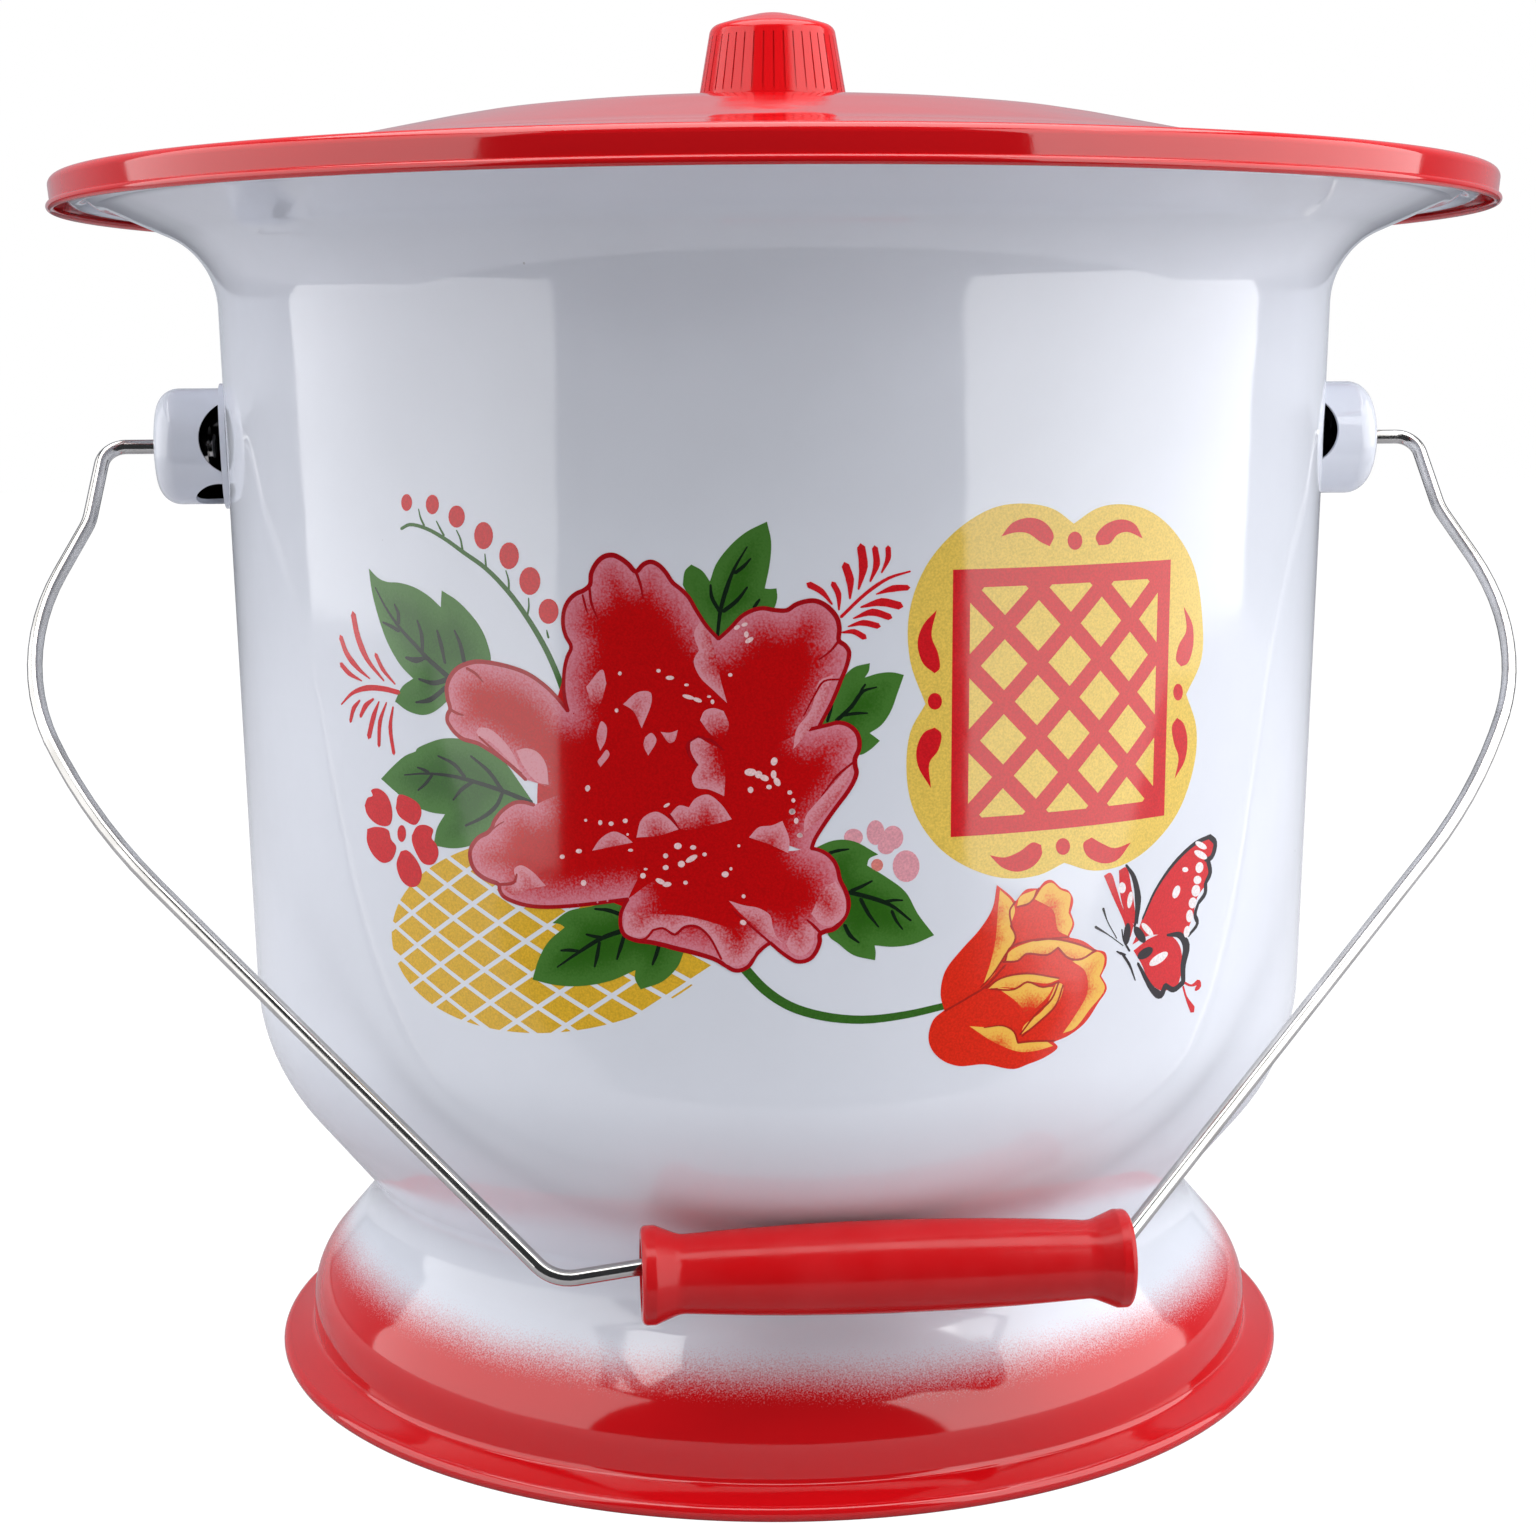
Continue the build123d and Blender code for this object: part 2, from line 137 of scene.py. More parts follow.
def turned_mesh(name, profile, steps=turned_steps):
    """Sheet turned about the jar's axis from an outline in millimetres."""
    mesh_data = bmesh.new()
    rings = []
    for radius, height in profile:
        count = 1 if radius < 1e-6 else steps
        rings.append([
            mesh_data.verts.new((
                radius * mm * math.sin(math.tau * i / steps),
                -radius * mm * math.cos(math.tau * i / steps),
                height * mm,
            ))
            for i in range(count)
        ])
    pairs = list(zip(rings, rings[1:]))
    if len(rings[0]) > 1 or len(rings[-1]) > 1:
        pairs.append((rings[-1], rings[0]))
    for one, two in pairs:
        for i in range(steps):
            j = (i + 1) % steps
            corners = [one[i % len(one)], one[j % len(one)], two[j % len(two)], two[i % len(two)]]
            unique = list(dict.fromkeys(corners))
            if len(unique) > 2:
                mesh_data.faces.new(unique)
    bmesh.ops.recalc_face_normals(mesh_data, faces=mesh_data.faces)
    mesh = bpy.data.meshes.new(name)
    mesh_data.to_mesh(mesh)
    mesh_data.free()
    mesh.polygons.foreach_set("use_smooth", [True] * len(mesh.polygons))
    mesh.set_sharp_from_angle(angle=math.radians(35))
    return mesh


def new_material(name, colour, roughness, metallic=0.0, ior=1.5):
    """Material with its shader's plain values set."""
    material = bpy.data.materials.new(name)
    material.use_nodes = True
    shader = material.node_tree.nodes["Principled BSDF"]
    shader.inputs["Base Color"].default_value = (*colour, 1)
    shader.inputs["Roughness"].default_value = roughness
    shader.inputs["Metallic"].default_value = metallic
    shader.inputs["IOR"].default_value = ior
    return material, shader


def add_node(material, kind, settings=(), **sockets):
    """Shader node with settings and unlinked sockets given."""
    node = material.node_tree.nodes.new(kind)
    for key, value in dict(settings).items():
        setattr(node, key, value)
    for key, value in sockets.items():
        node.inputs[key.replace("_", " ")].default_value = value
    return node


def connect(material, *pairs):
    """Link pairs of an output and an input."""
    for output, entry in pairs:
        material.node_tree.links.new(output, entry)


def noise(material, scale, detail=2.0):
    """Noise fixed to the object's own places."""
    place = add_node(material, "ShaderNodeTexCoord")
    texture = add_node(material, "ShaderNodeTexNoise", Scale=scale, Detail=detail)
    connect(material, (place.outputs["Object"], texture.inputs["Vector"]))
    return texture.outputs["Fac"]


def between(material, share, low, high):
    """Colour that runs from low to high with the share."""
    mix = add_node(material, "ShaderNodeMix", {"data_type": "RGBA"})
    for socket, value in ((mix.inputs[6], low), (mix.inputs[7], high)):
        if isinstance(value, tuple):
            socket.default_value = (*value, 1)
        else:
            connect(material, (value, socket))
    connect(material, (share, mix.inputs["Factor"]))
    return mix.outputs[2]


def graded(material, value, start, end, low=0.0, high=1.0, smooth=False):
    """Value spread from the range start to end onto low to high."""
    spread = add_node(material, "ShaderNodeMapRange", From_Min=start, From_Max=end, To_Min=low, To_Max=high)
    if smooth:
        spread.interpolation_type = "SMOOTHSTEP"
    connect(material, (value, spread.inputs["Value"]))
    return spread.outputs["Result"]


def ripples(material, shader, *layers):
    """Bumps given as (noise scale, depth in metres), one upon another."""
    below = None
    for scale, depth in layers:
        bump = add_node(material, "ShaderNodeBump", Strength=1.0, Distance=depth)
        connect(material, (noise(material, scale), bump.inputs["Height"]))
        if below:
            connect(material, (below, bump.inputs["Normal"]))
        below = bump.outputs["Normal"]
    connect(material, (below, shader.inputs["Normal"]))


enamel_ripples = ((22, 0.00035), (160, 0.00002), (1500, 0.0000025))


def enamel(name, colour):
    """Fired enamel: mottled very faintly, with scattered dark specks and a wavy gloss."""
    material, shader = new_material(name, (1, 1, 1), 0.07, ior=1.62)
    mottled = between(
        material,
        graded(material, noise(material, 45, 4), 0.3, 0.7),
        tuple(0.965 * c for c in colour) if isinstance(colour, tuple) else colour,
        colour,
    )
    place = add_node(material, "ShaderNodeTexCoord")
    cells = add_node(material, "ShaderNodeTexVoronoi", Scale=110, Randomness=1.0)
    connect(material, (place.outputs["Object"], cells.inputs["Vector"]))
    speck = graded(material, cells.outputs["Distance"], 0.018, 0.032, 0.55, 1.0)
    rare = graded(material, noise(material, 33), 0.60, 0.62, 1.0, 0.0)
    lightest = add_node(material, "ShaderNodeMath", {"operation": "MAXIMUM"})
    connect(material, (speck, lightest.inputs[0]), (rare, lightest.inputs[1]))
    specked = between(material, lightest.outputs[0], (0.16, 0.15, 0.14), mottled)
    connect(
        material,
        (specked, shader.inputs["Base Color"]),
        (graded(material, noise(material, 60), 0.3, 0.7, 0.05, 0.10), shader.inputs["Roughness"]),
    )
    ripples(material, shader, *enamel_ripples)
    return material


white_enamel = enamel("white_enamel", enamel_white)
bowl_outside = rounded(
    [(0, waist[1]), waist, belly, shoulder, brim_turn, (brim_edge[0], brim_underside)],
    bowl_rounds,
)
bowl_profile = rolled_edge(bowl_outside, beside(bowl_outside, sheet), brim_edge, brim_bead, 1)
bowl = show("enamel_bowl", turned_mesh("enamel_bowl", bowl_profile), white_enamel, "pot", "bowl")


# Foot
# A flared ring of sheet steel, lapped under the bowl and welded at the waist, where enamel
# fills the crease. Red is sprayed on the lower half and fades into the white above it.
foot_wall = 102.3
foot_shoulder = (foot_wall, 15.5)
foot_edge = (107.5, 1.4388)
foot_bead = 1.6
foot_flange_height = 4.9
foot_rounds = [4.0, 16.0, 1.5]
foot_lap = 72.0
seam_gap = 0.05
crease_round = 10.2
enamel_red = (0.60, 0.004, 0.007)
red_from = 0.0188
white_from = 0.0268


def crease(lower, corner, upper, radius):
    """Rounded filling in the crease between two faces, from the upper one to the lower."""
    bend = rounded([upper, corner, lower], [radius])
    return bend[1:-1]


filling = crease(foot_shoulder, waist, belly, crease_round)
foot_outline = rounded(
    [
        (foot_lap, waist[1]),
        waist,
        foot_shoulder,
        (foot_wall, foot_flange_height),
        (foot_edge[0], foot_edge[1] + foot_bead),
    ],
    foot_rounds,
)
foot_outside = filling + [p for p in foot_outline if p.y < filling[-1].y]
foot_inside = beside(foot_outline, -sheet)
foot_profile = rolled_edge(foot_outside, foot_inside, foot_edge, foot_bead, -1)
foot_profile = [Vector((p.x, max(p.y, 0.0))) for p in foot_profile]
foot_profile += [Vector((foot_lap, waist[1] - seam_gap)), Vector((waist[0] + seam_gap, waist[1] - seam_gap))]
foot_enamel = enamel("foot_enamel", enamel_white)
foot_shader = foot_enamel.node_tree.nodes["Principled BSDF"]
white_part = foot_shader.inputs["Base Color"].links[0].from_socket
place = add_node(foot_enamel, "ShaderNodeTexCoord")
parts = add_node(foot_enamel, "ShaderNodeSeparateXYZ")
connect(foot_enamel, (place.outputs["Object"], parts.inputs[0]))
drift = graded(foot_enamel, noise(foot_enamel, 14), 0.25, 0.75, -0.0014, 0.0014)
spray = graded(foot_enamel, noise(foot_enamel, 3400, 1), 0.2, 0.8, -0.0022, 0.0022)
height = parts.outputs["Z"]
for shift in (drift, spray):
    added = add_node(foot_enamel, "ShaderNodeMath")
    connect(foot_enamel, (height, added.inputs[0]), (shift, added.inputs[1]))
    height = added.outputs[0]
fade = graded(foot_enamel, height, red_from, white_from, smooth=True)
connect(foot_enamel, (between(foot_enamel, fade, enamel_red, white_part), foot_shader.inputs["Base Color"]))
foot = show("enamel_foot", turned_mesh("enamel_foot", foot_profile), foot_enamel, "pot", "foot")


# Ears
# Pressed cups, enamelled with the bowl, that stand on round pads and hold the ends of the bail.
# Windows cut into their rims let the enamel drain. The enamel is thin inside, and each cup's hollow is
# painted near black as shade.
ear_height = 0.1934
ear_inside = (0.1270, 0.0109)


def dress(name, material):
    """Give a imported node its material."""
    mesh = nodes[name].data
    mesh.materials.clear()
    mesh.materials.append(material)
    return nodes[name]


ear_enamel = enamel("ear_enamel", enamel_white)
ear_shader = ear_enamel.node_tree.nodes["Principled BSDF"]
white_part = ear_shader.inputs["Base Color"].links[0].from_socket
place = add_node(ear_enamel, "ShaderNodeNewGeometry")
lowered = add_node(ear_enamel, "ShaderNodeVectorMath", {"operation": "SUBTRACT"})
lowered.inputs[1].default_value = (0, 0, ear_height)
upright = add_node(ear_enamel, "ShaderNodeVectorMath", {"operation": "MULTIPLY"})
upright.inputs[1].default_value = (0, 1, 1)
reach = add_node(ear_enamel, "ShaderNodeVectorMath", {"operation": "LENGTH"})
parts = add_node(ear_enamel, "ShaderNodeSeparateXYZ")
out = add_node(ear_enamel, "ShaderNodeMath", {"operation": "ABSOLUTE"})
both = add_node(ear_enamel, "ShaderNodeMath", {"operation": "MULTIPLY"})
connect(
    ear_enamel,
    (place.outputs["Position"], lowered.inputs[0]),
    (lowered.outputs[0], upright.inputs[0]),
    (upright.outputs[0], reach.inputs[0]),
    (place.outputs["Position"], parts.inputs[0]),
    (parts.outputs["X"], out.inputs[0]),
)
# Painted shade: within the cup's inside radius and behind its outer face, the colour is turned near black.
near_axis = graded(ear_enamel, reach.outputs["Value"], ear_inside[1], ear_inside[1] + 0.0001, 1.0, 0.0)
behind_face = graded(ear_enamel, out.outputs[0], ear_inside[0], ear_inside[0] + 0.0001, 1.0, 0.0)
connect(ear_enamel, (near_axis, both.inputs[0]), (behind_face, both.inputs[1]))
painted_shade_inside = between(ear_enamel, both.outputs[0], white_part, (0.012, 0.011, 0.010))
connect(ear_enamel, (painted_shade_inside, ear_shader.inputs["Base Color"]))
for name in ("left_ear_cup", "right_ear_cup"):
    dress(name, ear_enamel)
for name in ("left_ear_plate", "right_ear_plate"):
    dress(name, white_enamel)


# Ornament
# Coloured glazes printed on thin transfers, laid on the fired enamel and fired again. Each ink
# is a film a few hundredths of a millimetre thick. Places on the wall are given in millimetres:
# along it from its front line, to the right, and up from the floor.
film_step = 0.01
film_root = -0.03
first_film = 0.02
dot_steps = 20


def wall_radius(height):
    """Radius of the bowl's straight wall."""
    rise = (height - belly[1]) / (shoulder[1] - belly[1])
    return belly[0] + rise * (shoulder[0] - belly[0])


def on_wall(along, height, film):
    """Place on the bowl's wall, this far outside it."""
    radius = wall_radius(height)
    turn = along / radius
    return Vector(((radius + film) * math.sin(turn), -(radius + film) * math.cos(turn), height)) * mm


def smooth_run(points, steps):
    """Smooth line through the points, with its corners spread by the square roots of their gaps."""
    points = [Vector(p) for p in points]
    if len(points) == 2:
        return [points[0].lerp(points[1], i / steps) for i in range(steps + 1)]
    points = [2 * points[0] - points[1]] + points + [2 * points[-1] - points[-2]]
    line = []
    for a, b, c, d in zip(points, points[1:], points[2:], points[3:]):
        t1 = (b - a).length ** 0.5
        t2 = t1 + (c - b).length ** 0.5
        t3 = t2 + (d - c).length ** 0.5
        for i in range(steps):
            t = t1 + (t2 - t1) * i / steps
            ab, bc, cd = a.lerp(b, t / t1), b.lerp(c, (t - t1) / (t2 - t1)), c.lerp(d, (t - t2) / (t3 - t2))
            line.append(ab.lerp(bc, t / t2).lerp(bc.lerp(cd, (t - t1) / (t3 - t1)), (t - t1) / (t2 - t1)))
    return line + [points[-2]]


def closed_line(rim_runs, runs, steps=5):
    """Outline from smooth runs that meet at corners, and the stretch of it that is its rim."""
    line, rim, last = [], 0, []
    for i, run in enumerate(runs):
        line += smooth_run(last + list(run), steps)[len(last):]
        last = [run[-1]]
        if i < rim_runs:
            rim = len(line)
    if (line[-1] - line[0]).length < 0.02:
        line.pop()
    return line, line[:rim]


def inside(point, outline):
    """Whether the point lies within the closed outline."""
    hit = False
    for a, b in zip(outline, outline[1:] + outline[:1]):
        if (a.y > point.y) != (b.y > point.y):
            hit ^= point.x < a.x + (point.y - a.y) * (b.x - a.x) / (b.y - a.y)
    return hit


def gap_to(point, line):
    """Shortest distance from the point to the line."""
    nearest = math.inf
    for a, b in zip(line, line[1:]):
        span = b - a
        share = max(0.0, min(1.0, (point - a).dot(span) / max(span.length_squared, 1e-9)))
        nearest = min(nearest, (point - a - span * share).length_squared)
    return math.sqrt(nearest)


def strip(points, widths, steps=4):
    """Brush line as an outline: its width runs from the first to the middle to the last value."""
    middle = smooth_run(points, steps)
    left, right = [], []
    for i, place in enumerate(middle):
        share = 2 * i / (len(middle) - 1)
        first, second = (widths[0], widths[1]) if share < 1 else (widths[1], widths[2])
        half = (first + (second - first) * (share % 1 if share < 2 else 1)) / 2
        along = (middle[min(i + 1, len(middle) - 1)] - middle[max(i - 1, 0)]).normalized()
        side = Vector((-along.y, along.x)) * half
        left.append(place + side)
        right.append(place - side)
    start = middle[0] - (middle[1] - middle[0]).normalized() * widths[0] / 2
    end = middle[-1] + (middle[-1] - middle[-2]).normalized() * widths[2] / 2
    return [start] + left + [end] + right[::-1]


def dot(along, height, long, short, angle):
    """Oval as an outline."""
    turn = Matrix.Rotation(math.radians(angle), 2)
    steps = [math.tau * i / dot_steps for i in range(dot_steps)]
    ring = [turn @ Vector((long * math.cos(a), short * math.sin(a))) for a in steps]
    return [Vector((along, height)) + place for place in ring]


class Transfer:
    """Films of one ink on the wall, gathered in one mesh."""

    def __init__(self, film):
        self.film = film
        self.data = bmesh.new()
        self.fade = self.data.verts.layers.float.new("fade")

    def ladder(self, points, widths, lift=0.0):
        """Brush line as a row of narrow quads."""
        edge = strip(points, widths)
        count = len(edge) // 2 - 1
        rungs = [(edge[i + 1], edge[-i - 1]) for i in range(count)]
        verts = [[self.data.verts.new(on_wall(*p, self.film + lift)) for p in rung] for rung in rungs]
        tips = [self.data.verts.new(on_wall(*p, self.film + lift)) for p in (edge[0], edge[count + 1])]
        for (a, b), (c, d) in zip(verts, verts[1:]):
            self.data.faces.new((a, b, d, c))
        self.data.faces.new((tips[0], verts[0][1], verts[0][0]))
        self.data.faces.new((tips[1], verts[-1][0], verts[-1][1]))

    def patch(self, outline, rim=(), grain=0.0, lift=0.0):
        """Flat film within an outline. Its fade is the distance in millimetres from its rim."""
        places = [Vector(p) for p in outline]
        if grain:
            low = Vector((min(p.x for p in places), min(p.y for p in places)))
            high = Vector((max(p.x for p in places), max(p.y for p in places)))
            for row in range(math.ceil((high.y - low.y) / grain)):
                for column in range(math.ceil((high.x - low.x) / grain)):
                    shift = 0.25 if row % 2 else 0.75
                    place = low + Vector((column + shift, row + 0.5)) * grain
                    if inside(place, outline) and gap_to(place, outline + outline[:1]) > 0.4 * grain:
                        places.append(place)
        loop = list(range(len(outline)))
        flat, _, faces, *_ = delaunay_2d_cdt(places, [], [loop], 1, 1e-5)
        verts = []
        for place in flat:
            vert = self.data.verts.new(on_wall(place.x, place.y, self.film + lift))
            vert[self.fade] = gap_to(place, rim) if rim else 0.0
            verts.append(vert)
        for face in faces:
            self.data.faces.new([verts[i] for i in face])

    def finish(self, name, material):
        """Turn the films' edges down into the enamel and put them in the scene."""
        for face in self.data.faces:
            face.normal_update()
            if face.normal.dot(Vector((*face.calc_center_median().xy, 0))) < 0:
                face.normal_flip()
        rim = [edge for edge in self.data.edges if edge.is_boundary]
        skirt = bmesh.ops.extrude_edge_only(self.data, edges=rim)
        for vert in (part for part in skirt["geom"] if isinstance(part, bmesh.types.BMVert)):
            reach = vert.co.xy.length
            vert.co.xy *= (wall_radius(vert.co.z / mm) + film_root) * mm / reach
        mesh = bpy.data.meshes.new(name)
        self.data.to_mesh(mesh)
        self.data.free()
        mesh.polygons.foreach_set("use_smooth", [True] * len(mesh.polygons))
        mesh.set_sharp_from_angle(angle=math.radians(30))
        piece = show(name, mesh, material, "pot")
        return piece


def paint(red, green, blue):
    """Linear colour from the screen values of an ink."""
    screen = (red / 255, green / 255, blue / 255)
    return tuple(c / 12.92 if c < 0.0405 else ((c + 0.055) / 1.055) ** 2.4 for c in screen)


def ink(name, colour, rim_colour=None, reach=1.0, start=0.0, stipple=0.0):
    """Fired ink, printed with a fine stipple. It can fade from its rim's colour to its own."""
    material, shader = new_material(name, colour, 0.09, ior=1.56)
    grain = noise(material, 2600, 1)
    dark, light = tuple(0.86 * c for c in colour), tuple(min(1, 1.1 * c) for c in colour)
    tone = between(material, graded(material, grain, 0.3, 0.7), dark, light)
    if rim_colour:
        far = add_node(material, "ShaderNodeAttribute", {"attribute_name": "fade"})
        sown = add_node(material, "ShaderNodeMath")
        scatter = graded(material, grain, 0.25, 0.75, -stipple, stipple)
        connect(material, (far.outputs["Fac"], sown.inputs[0]), (scatter, sown.inputs[1]))
        share = graded(material, sown.outputs[0], start, start + reach, smooth=True)
        tone = between(material, share, rim_colour, tone)
    connect(material, (tone, shader.inputs["Base Color"]))
    ripples(material, shader, *enamel_ripples)
    return material


# Lattice roundel
# A yellow roundel cut into cells by two sets of fine unprinted lines, behind the flowers.
roundel_middle = (-52.9, 109.5)
roundel_half_width = 35.1
roundel_half_height = 18.0
roundel_turn = 9.3
roundel_crossing = (-52.2, 111.0)
roundel_lines = (34.7, -27.8)
roundel_spacings = (5.55, 4.78)
roundel_line = 0.85
roundel_steps = 90
smallest_cell = 0.6
yellow_ink = ink("yellow_ink", paint(222, 176, 48))


def clipped(shape, outline):
    """The part of a shape inside a convex outline that runs anticlockwise."""
    for a, b in zip(outline, outline[1:] + outline[:1]):
        kept = []
        for p, q in zip(shape, shape[1:] + shape[:1]):
            here, there = (b - a).cross(p - a), (b - a).cross(q - a)
            if here >= 0:
                kept.append(p)
            if here * there < 0:
                kept.append(p.lerp(q, here / (here - there)))
        shape = kept
    return shape


def closely(outline, most=1.6):
    """The same closed outline with its long edges divided."""
    points = []
    for a, b in zip(outline, outline[1:] + outline[:1]):
        count = max(1, math.ceil((b - a).length / most))
        points += [a.lerp(b, i / count) for i in range(count)]
    return points


def area(outline):
    """Signed area within a closed outline."""
    return sum(a.cross(b) for a, b in zip(outline, outline[1:] + outline[:1])) / 2


def lattice(middle, reach, angles, spacings, line, border):
    """Cells between two sets of slanting lines, cut to a border."""
    middle = Vector(middle)
    across = [Vector((-math.sin(math.radians(a)), math.cos(math.radians(a)))) for a in angles]
    skew = across[0].cross(across[1])
    cells = []
    for i in range(-reach, reach):
        for j in range(-reach, reach):
            low = [k * step + line / 2 for k, step in zip((i, j), spacings)]
            high = [(k + 1) * step - line / 2 for k, step in zip((i, j), spacings)]
            corners = []
            for p, q in ((low[0], low[1]), (high[0], low[1]), (high[0], high[1]), (low[0], high[1])):
                place = Vector((p * across[1].y - q * across[0].y, q * across[0].x - p * across[1].x)) / skew
                corners.append(middle + place)
            if area(corners) < 0:
                corners.reverse()
            cell = clipped(corners, border)
            if len(cell) > 2 and area(cell) > smallest_cell:
                cells.append(closely(cell))
    return cells


tilt = Matrix.Rotation(math.radians(roundel_turn), 2)
border = [
    Vector(roundel_middle)
    + tilt @ Vector((roundel_half_width * math.cos(a), roundel_half_height * math.sin(a)))
    for a in (math.tau * i / roundel_steps for i in range(roundel_steps))
]
films = Transfer(first_film)
for cell in lattice(roundel_crossing, 12, roundel_lines, roundel_spacings, roundel_line, border):
    films.patch(cell, grain=2.0)
films.finish("lattice_roundel", yellow_ink)


# Berry spray and fronds
# A thin curved stem with seven berries on short stalks, and two red feathery fronds.
berries_dots = [
    (-80.3, 185.7, 1.52, 1.28, 78),
    (-74.3, 185.5, 1.74, 1.46, 79),
    (-69, 183.5, 1.96, 1.75, 75),
    (-63.4, 180.3, 2.40, 1.94, 83),
    (-58.3, 176.9, 2.36, 1.95, 82),
    (-54.3, 172.6, 2.46, 2.05, 82),
    (-50.8, 167.4, 2.21, 1.90, 80),
]
stem_lines = [
    ((0.56, 0.85, 1.13), [(-81.8, 181), (-79.7, 181.8), (-75.8, 181.2), (-71.7, 179.5), (-67.8, 177.3),
      (-63, 174.5), (-58.6, 170.6), (-55.2, 166.5), (-52, 161.7), (-49.8, 157.4), (-47.8, 152.3)]),
    ((0.23, 0.38, 0.45), [(-77.5, 184.6), (-77.1, 183.1), (-76.3, 181.7)]),
    ((0.22, 0.37, 0.44), [(-73.5, 182.6), (-72.7, 181.3), (-71.9, 180.1)]),
    ((0.22, 0.36, 0.43), [(-69.1, 181.1), (-68.3, 179.6), (-67.9, 177.7)]),
    ((0.21, 0.35, 0.42), [(-63.2, 177.1), (-63.1, 175.8), (-63, 174.5)]),
    ((0.21, 0.35, 0.42), [(-59, 174.3), (-58.5, 172.6), (-58.5, 170.6)]),
    ((0.21, 0.34, 0.41), [(-54.6, 169.6), (-54.6, 168), (-55, 166.3)]),
    ((0.2, 0.34, 0.41), [(-51.2, 164.1), (-51.1, 163.5), (-50.9, 162.8)]),
]
frond_lines = [
    ((1.43, 1.51, 0.34), [(-95.4, 164.8), (-94.3, 160.8), (-91.9, 156.9), (-87.5, 153.2)]),
    ((1.2, 1.29, 0.26), [(-99.4, 160.3), (-97.8, 157.5), (-94.6, 155), (-91.3, 153.3)]),
    ((1.05, 1.05, 0.26), [(-99.6, 155.3), (-97.4, 153.9), (-93.6, 152.7)]),
    ((0.9, 0.9, 0.33), [(-89.4, 157.8), (-87.7, 155.3), (-84.6, 152.8)]),
    ((0.3, 1.1, 0.93), [(-100, 147.8), (-96.5, 150.2), (-92.2, 151.5), (-87.6, 151.7), (-83.7, 151.3)]),
    ((0.44, 1.05, 0.79), [(-94.4, 149), (-96.3, 147.3), (-97.4, 144.9)]),
    ((0.43, 1.11, 0.77), [(-90.5, 149.6), (-92.8, 148.1), (-94.3, 146.1)]),
    ((0.34, 1.17, 1.17), [(-89, 149.2), (-90.6, 146.4), (-92.1, 142.5)]),
    ((0.33, 0.99, 0.83), [(-87, 149.2), (-88.9, 145.5), (-89.4, 141.1)]),
    ((0.41, 0.98, 0.81), [(-85.3, 148.5), (-86.2, 144.7), (-85.5, 140)]),
    ((0.32, 0.64, 0.56), [(12.8, 174.4), (9, 173.3), (5, 170.7), (0.8, 166.8)]),
    ((1.18, 1.02, 0.32), [(-4.7, 172.4), (-2.6, 171.2), (-0.8, 169)]),
    ((0.95, 1.03, 0.32), [(-0.6, 172.5), (0.3, 170.7), (0.4, 168)]),
    ((1.34, 1.42, 0.32), [(1.5, 175.6), (2.3, 173.1), (2.3, 169.9)]),
    ((1.42, 1.58, 0.32), [(4.2, 178.7), (4.6, 175.4), (3.8, 171.5)]),
    ((1.03, 1.19, 0.32), [(6.6, 178.5), (6.9, 175.7), (5.8, 172.8)]),
    ((0.95, 0.95, 0.32), [(8.9, 178.5), (8.9, 176.7), (7.8, 174.3)]),
    ((0.96, 1.2, 0.24), [(12.4, 171.6), (9.8, 171.5), (6.9, 170.6)]),
    ((1.36, 1.44, 0.32), [(11, 168.5), (7.8, 169.2), (4.2, 168.4)]),
    ((1.12, 1.27, 0.24), [(9.2, 166.6), (6.2, 167.5), (2.9, 166.5)]),
    ((1.03, 1.03, 0.24), [(7.2, 165.1), (4.6, 165.7), (2, 165.1)]),
    ((1.03, 0.95, 0.32), [(4.8, 163.2), (3, 164.2), (1, 164.1)]),
]
green_ink = ink("green_ink", paint(56, 104, 36))
red_ink = ink("red_ink", paint(210, 24, 34))
films = Transfer(first_film + film_step)
for points_width in stem_lines:
    films.ladder(points_width[1], points_width[0])
films.finish("berry_stem", green_ink)
films = Transfer(first_film + 2 * film_step)
for place in berries_dots:
    films.patch(dot(*place), grain=1.6)
for widths, points in frond_lines:
    films.ladder(points, widths)
films.finish("berries_and_fronds", red_ink)


